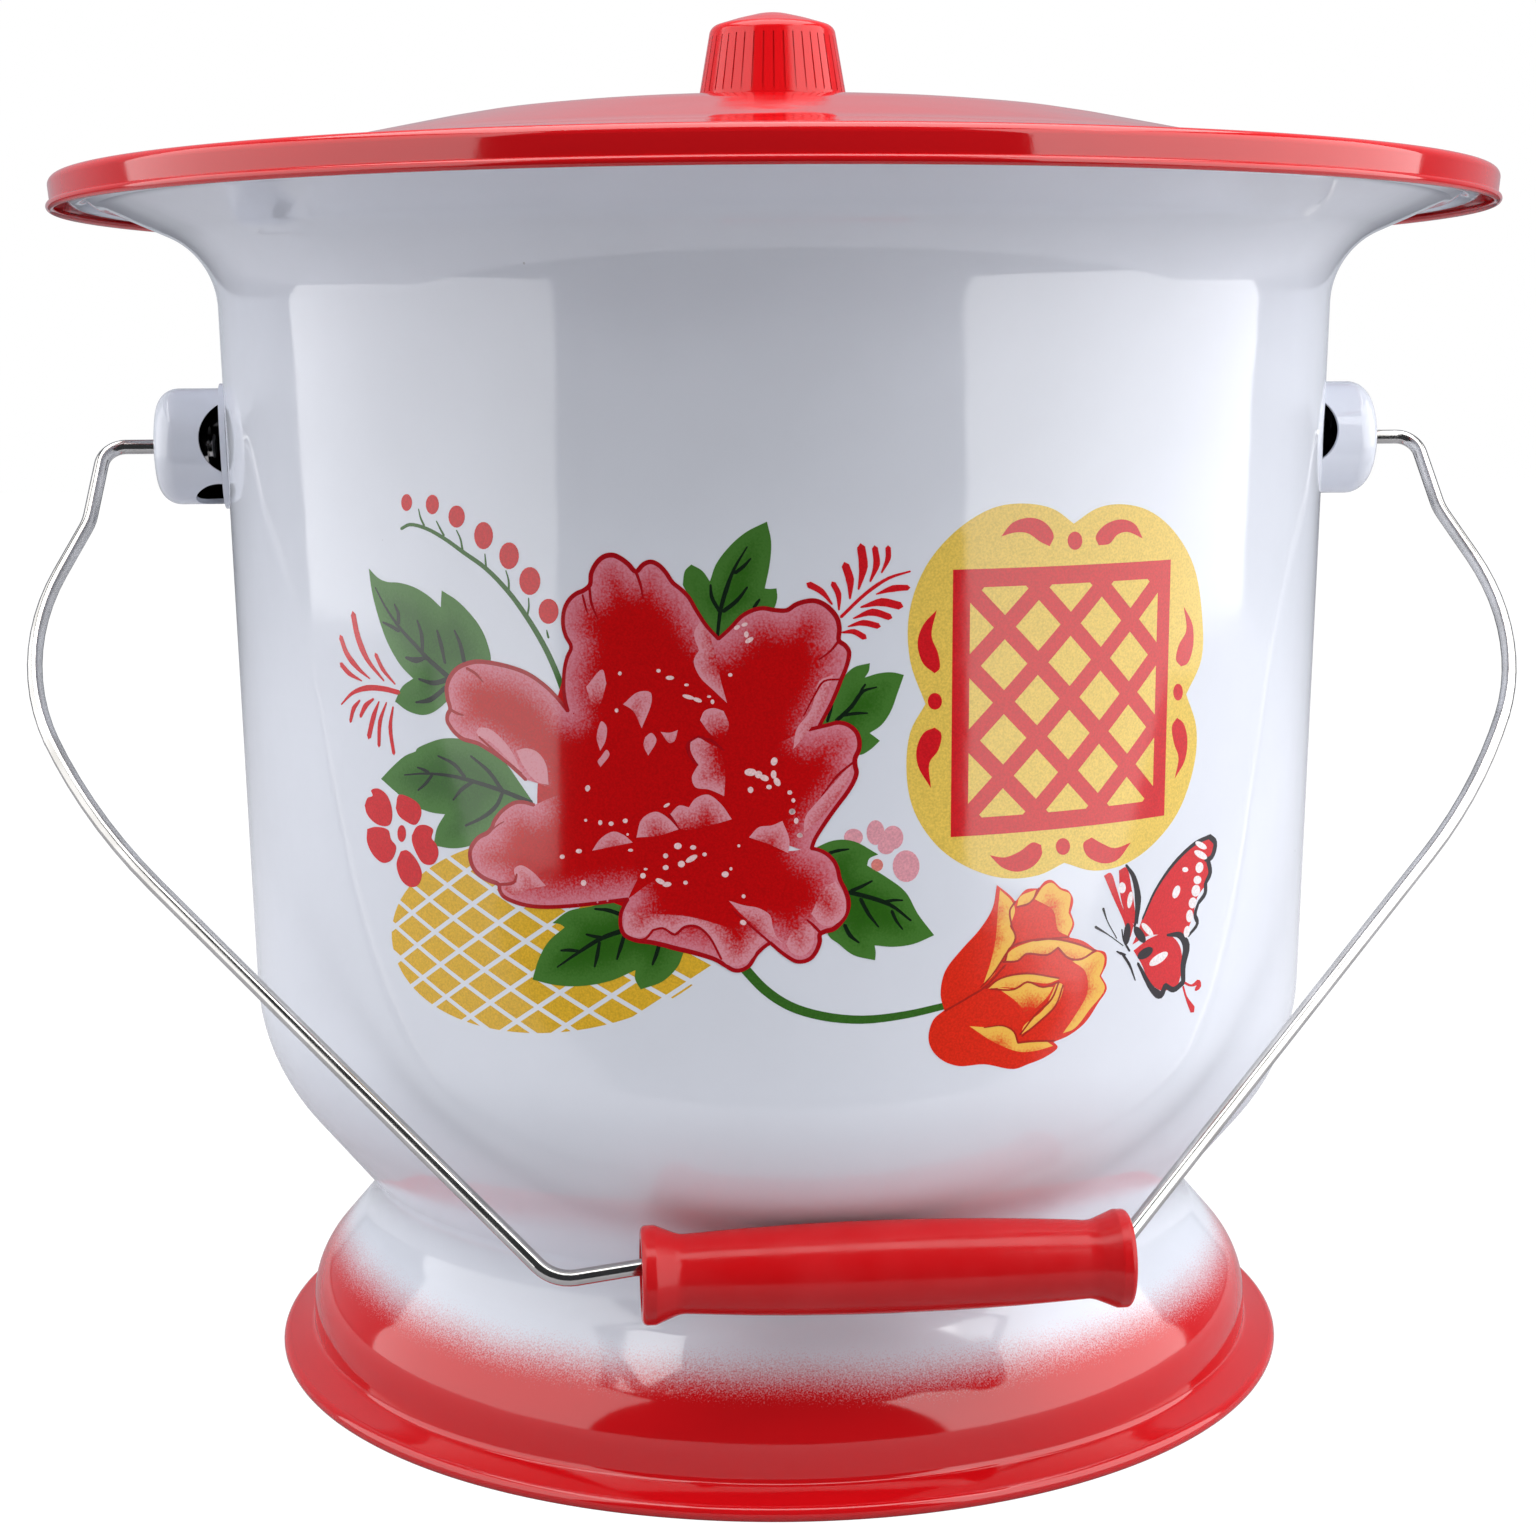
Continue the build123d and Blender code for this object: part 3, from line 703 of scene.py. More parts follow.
# Leaves
# Six toothed green leaves round the peony, a little paler at their edges, with dark veins.
leaf_shapes = [
    (6, [
        [(-90.5, 173.5), (-88.1, 171.9), (-85.7, 171.3), (-82.9, 171.3), (-79.3, 170.7), (-75.9, 169.3),
         (-73, 167.3)],
        [(-72.9, 168.6), (-72.7, 170.3)],
        [(-69.6, 168.8), (-66.9, 166.7), (-64.6, 164.2), (-63.2, 161.5), (-62.6, 157.9), (-65.3, 154.8),
         (-69.3, 153.9)],
        [(-71.9, 150.8), (-75.4, 148.3), (-78, 147.6), (-81.6, 148.1), (-84.7, 149.6)],
        [(-82.8, 152.4), (-80, 154.1)],
        [(-83.1, 156.4), (-86.2, 160.3), (-88.4, 164.9), (-89.9, 169.5), (-90.5, 173.5)],
    ]),
    (5, [
        [(-89.1, 134.9), (-86, 137.4), (-82.7, 139.7), (-79.9, 140.8)],
        [(-79.6, 141.3), (-76.5, 142.7), (-73, 143.7), (-68.6, 143.8), (-64.3, 142.7), (-60.2, 140.3),
         (-57.3, 136.9), (-54.6, 133.4)],
        [(-58.4, 132.7), (-61.5, 130.7), (-63.7, 127.4), (-67, 124.9), (-71.5, 123.7), (-76.2, 123.8)],
        [(-75.4, 126.9), (-73.4, 129.8)],
        [(-77, 129.9), (-81.8, 131.1), (-85.6, 133), (-89.1, 134.9)],
    ]),
    (6, [
        [(-55.4, 101), (-54, 105), (-52, 108.3), (-48.8, 111.1)],
        [(-49.7, 111.6), (-51.2, 111.7)],
        [(-48, 114.1), (-43.7, 115.2), (-36.8, 116.9), (-32.3, 114.4), (-27.8, 110.1), (-26.9, 107.6)],
        [(-27.9, 105.1), (-30.6, 102.3), (-34.7, 100.6)],
        [(-35.7, 102.5), (-35.6, 104.1)],
        [(-40.2, 101.9), (-46.3, 100.5), (-51.2, 100.4), (-55.4, 101)],
    ]),
    (6, [
        [(-4.9, 125.8), (-0.5, 127.7), (3, 127.5), (7.4, 125)],
        [(5.8, 124.3), (5.4, 123.1)],
        [(8.7, 121), (12.3, 118.1), (14.6, 114), (17.6, 110)],
        [(13.7, 108.6), (10.1, 108.3), (6.8, 108.7)],
        [(7, 107.4), (6.9, 106)],
        [(3, 107.1), (0.4, 109.2), (-1.4, 110.8), (-2.7, 119.1), (-4.9, 125.8)],
    ]),
    (7, [
        [(-20.3, 163.1), (-23.1, 166.5), (-25, 169.6), (-26.4, 172.4)],
        [(-26, 174.8), (-24.9, 175.9)],
        [(-23, 174.8), (-21.7, 173)],
        [(-20.6, 176), (-18.2, 179.1), (-15.5, 181.4), (-11.9, 183.2)],
        [(-11.2, 179.9), (-11.4, 176.3), (-12.3, 171.8)],
        [(-11.4, 171.7), (-10.3, 171.8)],
        [(-10.2, 170), (-11, 168.1), (-14.8, 166.5), (-18.3, 164.1), (-20.3, 163.1)],
    ]),
    (6, [
        [(-3, 147.9), (-0.6, 152.1), (1, 156), (3, 158), (5.8, 158.7)],
        [(5.6, 157.3), (4.9, 156.2)],
        [(7.4, 156.9), (9.8, 157), (11.8, 156.5)],
        [(10.7, 153.4), (9.5, 150.2), (7.9, 147.9), (5.8, 146.5)],
        [(6.6, 145.9), (7.6, 145.1)],
        [(5.8, 143.5), (4, 142.7), (1, 144), (-3, 147.9)],
    ]),
]
vein_lines = [
    ((0.31, 0.85, 1.0), [(-88.9, 170.1), (-86.4, 166.7), (-83, 163.2), (-78.8, 159.9), (-76.7, 158.2),
      (-73.4, 156), (-71.3, 154.6)]),
    ((0.39, 0.79, 0.87), [(-84.1, 167.3), (-83.2, 165.8), (-83.2, 164)]),
    ((0.4, 0.72, 0.8), [(-87.2, 163.9), (-85.1, 163.3), (-83.2, 162.6)]),
    ((0.38, 0.92, 0.76), [(-78.6, 164.7), (-77.8, 162.8), (-77.5, 160.8), (-77.6, 159.1)]),
    ((0.45, 0.9, 0.52), [(-74, 163.1), (-73.2, 160.7), (-72.4, 157.4)]),
    ((0.37, 0.8, 0.88), [(-70.1, 163.3), (-68.9, 160.9), (-68.1, 157.6)]),
    ((0.54, 1.16, 0.62), [(-81.6, 157.8), (-79.2, 157.5), (-76.7, 158.1)]),
    ((0.45, 0.91, 0.98), [(-78.6, 154.1), (-75.2, 153.6), (-72, 154.4)]),
    ((0.38, 0.99, 0.84), [(-79.5, 149.8), (-76.1, 150.5), (-72.2, 153.1)]),
    ((0.25, 0.69, 0.89), [(-82.9, 136.2), (-77.9, 136.9), (-72.1, 137), (-67.2, 136.4), (-60.9, 135.1),
      (-54.9, 133.3)]),
    ((0.31, 0.63, 0.63), [(-79.6, 137.9), (-78.2, 137.6), (-76.9, 137.2)]),
    ((0.37, 0.63, 0.63), [(-79.6, 133.7), (-77.7, 135.1), (-76.1, 136.8)]),
    ((0.35, 0.75, 0.7), [(-74.6, 140.4), (-70.9, 139.1), (-68.7, 137)]),
    ((0.35, 0.75, 0.7), [(-71.4, 132.6), (-69.4, 134.7), (-66.9, 136.3)]),
    ((0.39, 0.78, 0.78), [(-67.2, 140.9), (-63.4, 138.3), (-60.8, 135.2)]),
    ((0.44, 0.82, 0.68), [(-68.8, 128.1), (-64.7, 130.1), (-62, 132.3), (-60.6, 134.9)]),
    ((0.28, 0.73, 0.92), [(-50.4, 103.7), (-46.2, 106.7), (-41.9, 109.5), (-37.5, 111.3)]),
    ((0.37, 0.65, 0.56), [(-49.6, 106.8), (-47.9, 107), (-46, 106.9)]),
    ((0.37, 0.64, 0.55), [(-44.7, 110.1), (-43.1, 109.8), (-41.2, 109.7)]),
    ((0.37, 0.74, 0.55), [(-43.2, 104.3), (-42.7, 106.2), (-42.2, 108.8)]),
    ((0.36, 0.73, 0.64), [(-39, 105.9), (-38.2, 108.3), (-37.4, 110.8)]),
    ((0.36, 0.73, 0.82), [(-43, 114.8), (-40.5, 114.7), (-37.7, 113.9)]),
    ((0.36, 0.72, 0.72), [(-32.5, 105.2), (-31.8, 107), (-31.2, 109)]),
    ((0.8, 0.8, 0.36), [(2.3, 118.4), (6.1, 117.3), (9.7, 115.8), (13.3, 112.9)]),
    ((0.71, 0.62, 0.35), [(2.6, 118.6), (4.3, 119.3), (6.3, 120.3)]),
    ((0.63, 0.54, 0.27), [(8.3, 116.4), (10.1, 116.7), (11.8, 116.6)]),
    ((0.71, 0.67, 0.27), [(4.3, 117.1), (5.7, 114.4), (7.5, 112)]),
    ((0.63, 0.54, 0.27), [(9.9, 114.7), (10.6, 113.1), (11.8, 111.4)]),
    ((0.71, 0.75, 0.31), [(1.5, 112.5), (2.4, 110.7), (4, 109.3)]),
    ((0.62, 0.57, 0.26), [(-1.2, 125.5), (0.4, 125.9), (2.2, 126.1)]),
    ((0.24, 0.79, 0.55), [(-15.3, 178.9), (-17.5, 175.2), (-18.9, 171.6), (-19.9, 168.1),
      (-20.5, 163.3)]),
    ((0.31, 0.63, 0.63), [(-14.7, 176.9), (-15.9, 175.6), (-17.3, 174.5)]),
    ((0.35, 0.71, 0.71), [(-15.3, 172), (-17.1, 169.7), (-19.4, 167.9)]),
    ((0.36, 0.67, 0.63), [(-21.6, 172.4), (-21.4, 170.3), (-20.1, 167.9)]),
    ((0.39, 0.55, 0.55), [(-13.2, 169.9), (-13.7, 169.2), (-14.2, 168.5)]),
    ((0.24, 0.72, 0.72), [(7, 154.5), (4.6, 153.8), (2.6, 151.2), (0, 148.8)]),
    ((0.28, 0.56, 0.56), [(5.4, 150), (3.4, 150), (1.1, 149.7)]),
    ((0.32, 0.48, 0.48), [(5, 155), (4.5, 154.3), (4.1, 153.4)]),
    ((0.32, 0.56, 0.48), [(-0.6, 152.5), (-1, 150.7), (-1.6, 148.7)]),
]
leaf_ink = ink("leaf_ink", paint(44, 96, 20), paint(70, 120, 48), 5.0, 0.2, 1.2)
vein_ink = ink("vein_ink", paint(16, 34, 18))
films = Transfer(first_film + 2 * film_step)
for rim_runs, runs in leaf_shapes:
    outline, rim = closed_line(rim_runs, runs)
    films.patch(outline, rim, 1.6)
films.finish("leaves", leaf_ink)
films = Transfer(first_film + 3 * film_step)
for widths, points in vein_lines:
    films.ladder(points, widths)
films.finish("leaf_veins", vein_ink)


# Small flowers
# A red five-petalled flower at the left, a pink one at the right with a darker eye.
redflower_shapes = [
    (1, [
        [(-94, 129.4), (-93.1, 130.9), (-91.6, 131.5), (-92, 132.4), (-90.1, 133), (-87.6, 131.9),
         (-86.4, 129), (-87.2, 126.5), (-90.6, 126.2), (-93.4, 127.8), (-94, 129.4)],
    ]),
    (1, [
        [(-85.4, 129.8), (-84.6, 132.3), (-82.4, 132.3), (-79.4, 131), (-79, 129.4), (-80.5, 127.2),
         (-83.2, 127.7), (-84.8, 128.6), (-85.4, 129.8)],
    ]),
    (1, [
        [(-81.5, 125.1), (-80.2, 126.9), (-78, 127.4), (-76.3, 126.7), (-76.7, 125.1), (-75.6, 124.1),
         (-75.2, 122.2), (-76.5, 120.3), (-78.9, 120.2), (-80.7, 122.2), (-81.5, 124), (-81.5, 125.1)],
    ]),
    (1, [
        [(-84.5, 121.8), (-82.9, 122.2), (-80.7, 120.8), (-79.3, 118.2), (-80.3, 116), (-82.5, 115.4),
         (-84.7, 116.6), (-85.7, 119.3), (-84.5, 121.8)],
    ]),
    (1, [
        [(-93.5, 125), (-91, 125.7), (-87.6, 125.4), (-87, 123.8), (-85.7, 122.6), (-86.8, 120.1),
         (-89.3, 119.1), (-92, 120.2), (-93.7, 122.6), (-93.5, 125)],
    ]),
]
redflower_dots = [
    (-84.1, 125.2, 1.60, 1.08, 80),
]
pinkflower_dots = [
    (3, 128.2, 1.67, 1.50, -9),
    (6.9, 128.9, 2.21, 1.59, -88),
    (10, 127.9, 2.13, 1.86, -82),
    (8.8, 126.3, 1.52, 1.33, -10),
    (12.4, 122.7, 2.86, 2.42, -82),
]
pinkeye_dots = [
    (7.2, 123.1, 1.12, 1.05, -70),
]
pink_ink = ink("pink_ink", paint(226, 158, 170))
eye_ink = ink("eye_ink", paint(222, 132, 124))
films = Transfer(first_film + 4 * film_step)
for rim_runs, runs in redflower_shapes:
    outline, rim = closed_line(rim_runs, runs)
    films.patch(outline, grain=1.6)
for place in redflower_dots:
    films.patch(dot(*place))
films.finish("red_flower", red_ink)
films = Transfer(first_film)
for place in pinkflower_dots:
    films.patch(dot(*place), grain=1.6, lift=place[2] * 0.002)
films.finish("pink_flower", pink_ink)
films = Transfer(first_film + 2 * film_step)
for place in pinkeye_dots:
    films.patch(dot(*place))
films.finish("pink_flower_eye", eye_ink)


# Peony
# Seven broad petals, each deep red with a stippled pink edge and a fine dark outline, round a
# red heart. Pale curled edges, creases and pollen are printed over them.
heart_shapes = [
    (1, [
        [(-45.9, 162.6), (-33.9, 169.7), (-23.5, 162.9), (-8, 161.2), (-4, 150.5), (-6, 138.5),
         (-8.8, 127), (-8.4, 118.5), (-10.2, 112.6), (-24, 112.4), (-42, 117), (-51.5, 122),
         (-53.6, 131.5), (-53.2, 139.0), (-49.5, 151.9), (-45.9, 162.6)],
    ]),
]
peony_shapes = [
    (4, [
        [(-47.4, 150), (-48.1, 153.2), (-47.8, 158.1), (-46.6, 161.3)],
        [(-48, 164.5), (-47.5, 168.5), (-45.5, 170.6), (-43, 171.6)],
        [(-42.5, 174.6), (-40.8, 176.8), (-38.9, 177.4), (-36.9, 176.6), (-34.6, 174.6)],
        [(-32.4, 176.3), (-30.2, 175.5), (-28.2, 172.8), (-25.8, 170.8), (-23.9, 167.7), (-22.3, 165.3),
         (-20.3, 163.1)],
        [(-16.8, 151.4), (-20.1, 139.3), (-36.4, 134.9), (-47.4, 150)],
    ]),
    (3, [
        [(-20.3, 163.1), (-18.3, 164.9), (-15.9, 167.3), (-12.8, 168.4), (-9.1, 167.7)],
        [(-6.5, 169.2), (-3.7, 169.6), (-1.4, 168.4), (0.3, 166), (0.4, 162.7)],
        [(2, 161.2), (2, 159.2), (0.8, 156), (-0.6, 152.5), (-3, 147.9)],
        [(-8.2, 139.3), (-17.7, 139.3), (-20, 151.4), (-20.3, 163.1)],
    ]),
    (3, [
        [(-47.5, 150), (-50.4, 153.2), (-54.3, 155.9), (-57.6, 157.1), (-62.5, 157.9), (-66, 157.9),
         (-69.6, 156.6), (-71.5, 154.6), (-72.2, 152.4), (-71.5, 149.1)],
        [(-72.3, 147.4), (-71.2, 145.5), (-68.8, 143.9), (-66, 143.5)],
        [(-63.3, 142.3), (-59.5, 140.2), (-55.9, 137.4)],
        [(-43.8, 135.4), (-40.2, 142.1), (-47.5, 150)],
    ]),
    (2, [
        [(-4.8, 147.3), (-2.2, 147.9), (1, 148.4), (3.4, 146.8), (4, 144.3), (3, 141.5)],
        [(3.5, 139.7), (2.6, 137.3), (-1, 132.3), (-3.8, 127.9), (-4.6, 125.5)],
        [(-12.2, 129.2), (-14.1, 135.3), (-12.1, 143.4), (-4.8, 147.3)],
    ]),
    (3, [
        [(-54.4, 132.9), (-57.4, 133.3), (-60.5, 131.7), (-62.6, 129.3), (-63.2, 127.7)],
        [(-66.4, 125.8), (-67.9, 123.4), (-67.4, 120.7), (-65.6, 119.1), (-61.9, 117.9)],
        [(-61.4, 116.2), (-58.3, 114.9), (-53.3, 114.5), (-46.1, 115.3), (-36.8, 116.9)],
        [(-34.4, 123.3), (-38.8, 132), (-48.1, 135.1), (-54.4, 132.9)],
    ]),
    (2, [
        [(-4.4, 126.4), (-2.2, 125.7), (-0.1, 123.5), (0.6, 120.8), (2.1, 117.2), (1.7, 114.5),
         (-0.5, 111.9), (-2.9, 111.4)],
        [(-3, 109.3), (-4.4, 106.8), (-6.6, 106.1), (-8.8, 107.2), (-11.6, 109.6)],
        [(-17.9, 114.7), (-17.9, 123.6), (-4.4, 126.4)],
    ]),
    (2, [
        [(-36.8, 116.9), (-38, 114.6), (-38.2, 112.1), (-37.5, 110.4), (-35.7, 109.5)],
        [(-32.1, 109.2), (-28.1, 108.3), (-24.1, 107.4), (-20.6, 106.2), (-18, 104.6), (-15.8, 105),
         (-13.6, 108), (-11.6, 109.6)],
        [(-11.4, 117), (-22.2, 120.9), (-31.1, 120.7), (-36.8, 116.9)],
    ]),
]
curl_shapes = [
    (2, [
        [(-23.4, 166.2), (-24.5, 164.1), (-23.7, 161.1)],
        [(-24.6, 159.3), (-23.6, 156.6), (-21.2, 154.2), (-18.9, 152)],
        [(-20, 156.2), (-20.7, 159.8), (-21.7, 163.3), (-23.4, 166.2)],
    ]),
    (1, [
        [(-23.6, 149), (-22.8, 150.6), (-21.2, 151.1), (-19.5, 150.6)],
        [(-18.6, 148.2), (-19.4, 145.5)],
        [(-21.6, 146.4), (-23.6, 149)],
    ]),
    (2, [
        [(-19.5, 135.7), (-22.1, 136.8), (-24.5, 137.2), (-25.1, 138.9), (-24, 141.1)],
        [(-25.3, 143.7), (-25.1, 145.5), (-24, 146.1)],
        [(-22.1, 144.9), (-20.1, 143.8), (-19.3, 140.1), (-19.5, 135.7)],
    ]),
    (2, [
        [(-7.5, 143.9), (-6.9, 147.4), (-4.6, 150.5), (-3.8, 152.9)],
        [(-3, 155.7), (-0.6, 156.8)],
        [(-2.2, 151.3), (-5, 146.9), (-7.5, 143.9)],
    ]),
    (2, [
        [(-5.7, 129.2), (-5.4, 132), (-3, 135)],
        [(-1, 137.2), (2.6, 141.2)],
        [(1.8, 137.9), (-2.2, 132.3), (-5.7, 129.2)],
    ]),
    (1, [
        [(-43.3, 125.3), (-41.6, 127.6), (-39.3, 128.9), (-37.3, 128.3), (-35.8, 127.1)],
        [(-38.7, 126.4), (-43.3, 125.3)],
    ]),
    (1, [
        [(-35.1, 128), (-34.1, 131.3), (-31.6, 132.7), (-29.6, 131.8), (-27.5, 129.7)],
        [(-31, 128.5), (-35.1, 128)],
    ]),
    (2, [
        [(-29.1, 132.2), (-27.4, 133.9), (-25.7, 133.6)],
        [(-24.5, 135.2), (-22.3, 135.9), (-20, 134.2), (-18.2, 131.6)],
        [(-23, 130.2), (-27, 129.7), (-29.1, 132.2)],
    ]),
    (2, [
        [(-15.2, 128.4), (-13.5, 130.2), (-11.3, 130.5), (-9.4, 131.3)],
        [(-8.2, 128), (-8.4, 125.6)],
        [(-11.8, 127.2), (-15.2, 128.4)],
    ]),
    (3, [
        [(-37.4, 114.6), (-37.4, 111), (-35.7, 110.1), (-33.7, 110.4), (-32.4, 111.5)],
        [(-30.6, 111.9), (-28.4, 111.1)],
        [(-26.7, 112.3), (-24.5, 112.4), (-22.3, 110.6), (-20.6, 108), (-19.3, 105.7), (-16.9, 105.5),
         (-14.7, 106.9), (-13.6, 108.9), (-12.1, 110.3)],
        [(-17.9, 112), (-25.8, 114.1), (-32.1, 114.4), (-37.4, 114.6)],
    ]),
    (2, [
        [(-18.8, 117.1), (-16.2, 116.3), (-13.6, 115.8), (-11.6, 114.5), (-11.2, 112.7)],
        [(-10.5, 110.7), (-9.2, 109.3)],
        [(-12.7, 111.6), (-16.2, 114.3), (-18.8, 117.1)],
    ]),
    (1, [
        [(-4.4, 114.7), (-2.7, 112.8), (-0.5, 112.6), (1.5, 114.5), (1.5, 117.6), (-0.1, 120.4)],
        [(-2.3, 119.1), (-4.4, 114.7)],
    ]),
    (1, [
        [(-3.8, 111.7), (-4.2, 108.8), (-6, 107.2), (-7.9, 107.8), (-8.8, 109.4)],
        [(-7.5, 112), (-4.9, 113.1), (-3.8, 111.7)],
    ]),
    (0, [
        [(-55.3, 138.5), (-53.6, 137.1), (-51.4, 136.7)],
        [(-51.8, 140.3), (-53.4, 142.4), (-55.6, 143), (-57.6, 142.5)],
        [(-56.7, 140.5), (-55.3, 138.5)],
    ]),
    (0, [
        [(-65.3, 144.5), (-63.2, 143.9), (-60.2, 141.6), (-56.7, 138.5)],
        [(-58.2, 141.7), (-60.6, 144.5), (-63.2, 146.1), (-65.3, 146.2)],
        [(-65.8, 145.3), (-65.3, 144.5)],
    ]),
    (1, [
        [(-58.1, 118.7), (-58.6, 121), (-57.2, 121.8), (-54.9, 120.8), (-52.3, 118.4)],
        [(-55.8, 117.6), (-58.8, 116.2), (-60.9, 117.2)],
        [(-59.8, 117.7), (-58.1, 118.7)],
    ]),
    (1, [
        [(-43.9, 154.4), (-40.9, 157.5), (-40.2, 155.1)],
        [(-41.2, 151.8), (-42.5, 149.6)],
        [(-43.3, 152.2), (-43.9, 154.4)],
    ]),
    (1, [
        [(-37.2, 151.5), (-34.5, 153.7), (-32.3, 153.7), (-32.1, 152), (-33.9, 147.4)],
        [(-35.4, 150.4), (-37.2, 151.5)],
    ]),
    (1, [
        [(-41.9, 146.9), (-41.2, 148.4), (-40.3, 147.6), (-40.5, 145), (-41.5, 143.2)],
        [(-42.1, 145.3), (-41.9, 146.9)],
    ]),
    (1, [
        [(-33.3, 145.8), (-32.2, 146.6), (-31.3, 145.4), (-32.8, 142.6)],
        [(-33.6, 144.4), (-33.3, 145.8)],
    ]),
    (1, [
        [(-30.5, 146.8), (-28.9, 146.7), (-27.5, 147.2)],
        [(-28.1, 145.3), (-29, 144.9), (-30.5, 146.8)],
    ]),
    (1, [
        [(-41.4, 142.1), (-40.3, 143.4), (-39.8, 142.6), (-41.5, 140.3)],
        [(-42, 141.3), (-41.4, 142.1)],
    ]),
]
crease_lines = [
    ((0.56, 0.48, 0.2), [(-34.6, 174.6), (-33.8, 172.3), (-33.4, 170)]),
    ((0.49, 0.49, 0.2), [(-43, 171.6), (-42.7, 169), (-41.6, 166.3)]),
    ((0.37, 0.41, 0.25), [(-44.3, 170.4), (-43.9, 168.8), (-43.5, 167.4)]),
    ((0.4, 0.48, 0.4), [(-20.3, 163.1), (-22.3, 165.3), (-23.9, 167.7)]),
    ((0.48, 0.4, 0.24), [(0.4, 162.7), (-1, 161), (-3, 159.5)]),
    ((0.51, 0.51, 0.22), [(-67.6, 156.7), (-65.7, 155.8), (-64.2, 154.4)]),
    ((0.52, 0.52, 0.3), [(-71.5, 149.1), (-70.1, 148.5), (-68.6, 148.2)]),
    ((0.32, 0.4, 0.2), [(0.8, 156), (-2.2, 155.7), (-3.8, 153.3), (-5.7, 149.7)]),
    ((0.4, 0.48, 0.24), [(3, 141.5), (0.2, 139.2), (-2.6, 135.6)]),
    ((0.53, 0.53, 0.35), [(-2.9, 111.4), (-4, 112.6), (-5.1, 113.6)]),
    ((0.44, 0.44, 0.22), [(-11.6, 109.6), (-14.4, 112.1), (-17.9, 115.2)]),
    ((0.4, 0.49, 0.26), [(-29.1, 132.2), (-28.3, 131), (-27.4, 129.7)]),
    ((0.41, 0.45, 0.45), [(-35.7, 109.5), (-33.7, 109.9), (-32.3, 111.5)]),
    ((0.4, 0.49, 0.4), [(-32.3, 111.5), (-30.5, 111.9), (-28.4, 110.8), (-26.7, 112.2), (-24.5, 112.4),
      (-22.3, 110.6), (-20.2, 106.6)]),
    ((0.4, 0.48, 0.32), [(-24, 146.1), (-21.6, 145.4), (-19.5, 143.7)]),
    ((0.32, 0.56, 0.4), [(-24, 146.1), (-25.7, 144.9), (-25.5, 142.9), (-24.1, 141.1)]),
    ((0.29, 0.24, 0.19), [(-63.2, 127.7), (-61.6, 128.9), (-60.5, 129.5)]),
    ((0.58, 0.58, 0.39), [(-61.9, 117.9), (-58.7, 118.6), (-58.1, 120.1)]),
    ((0.38, 0.48, 0.29), [(-65.3, 144.5), (-61.2, 141.5), (-56.7, 138.5)]),
]
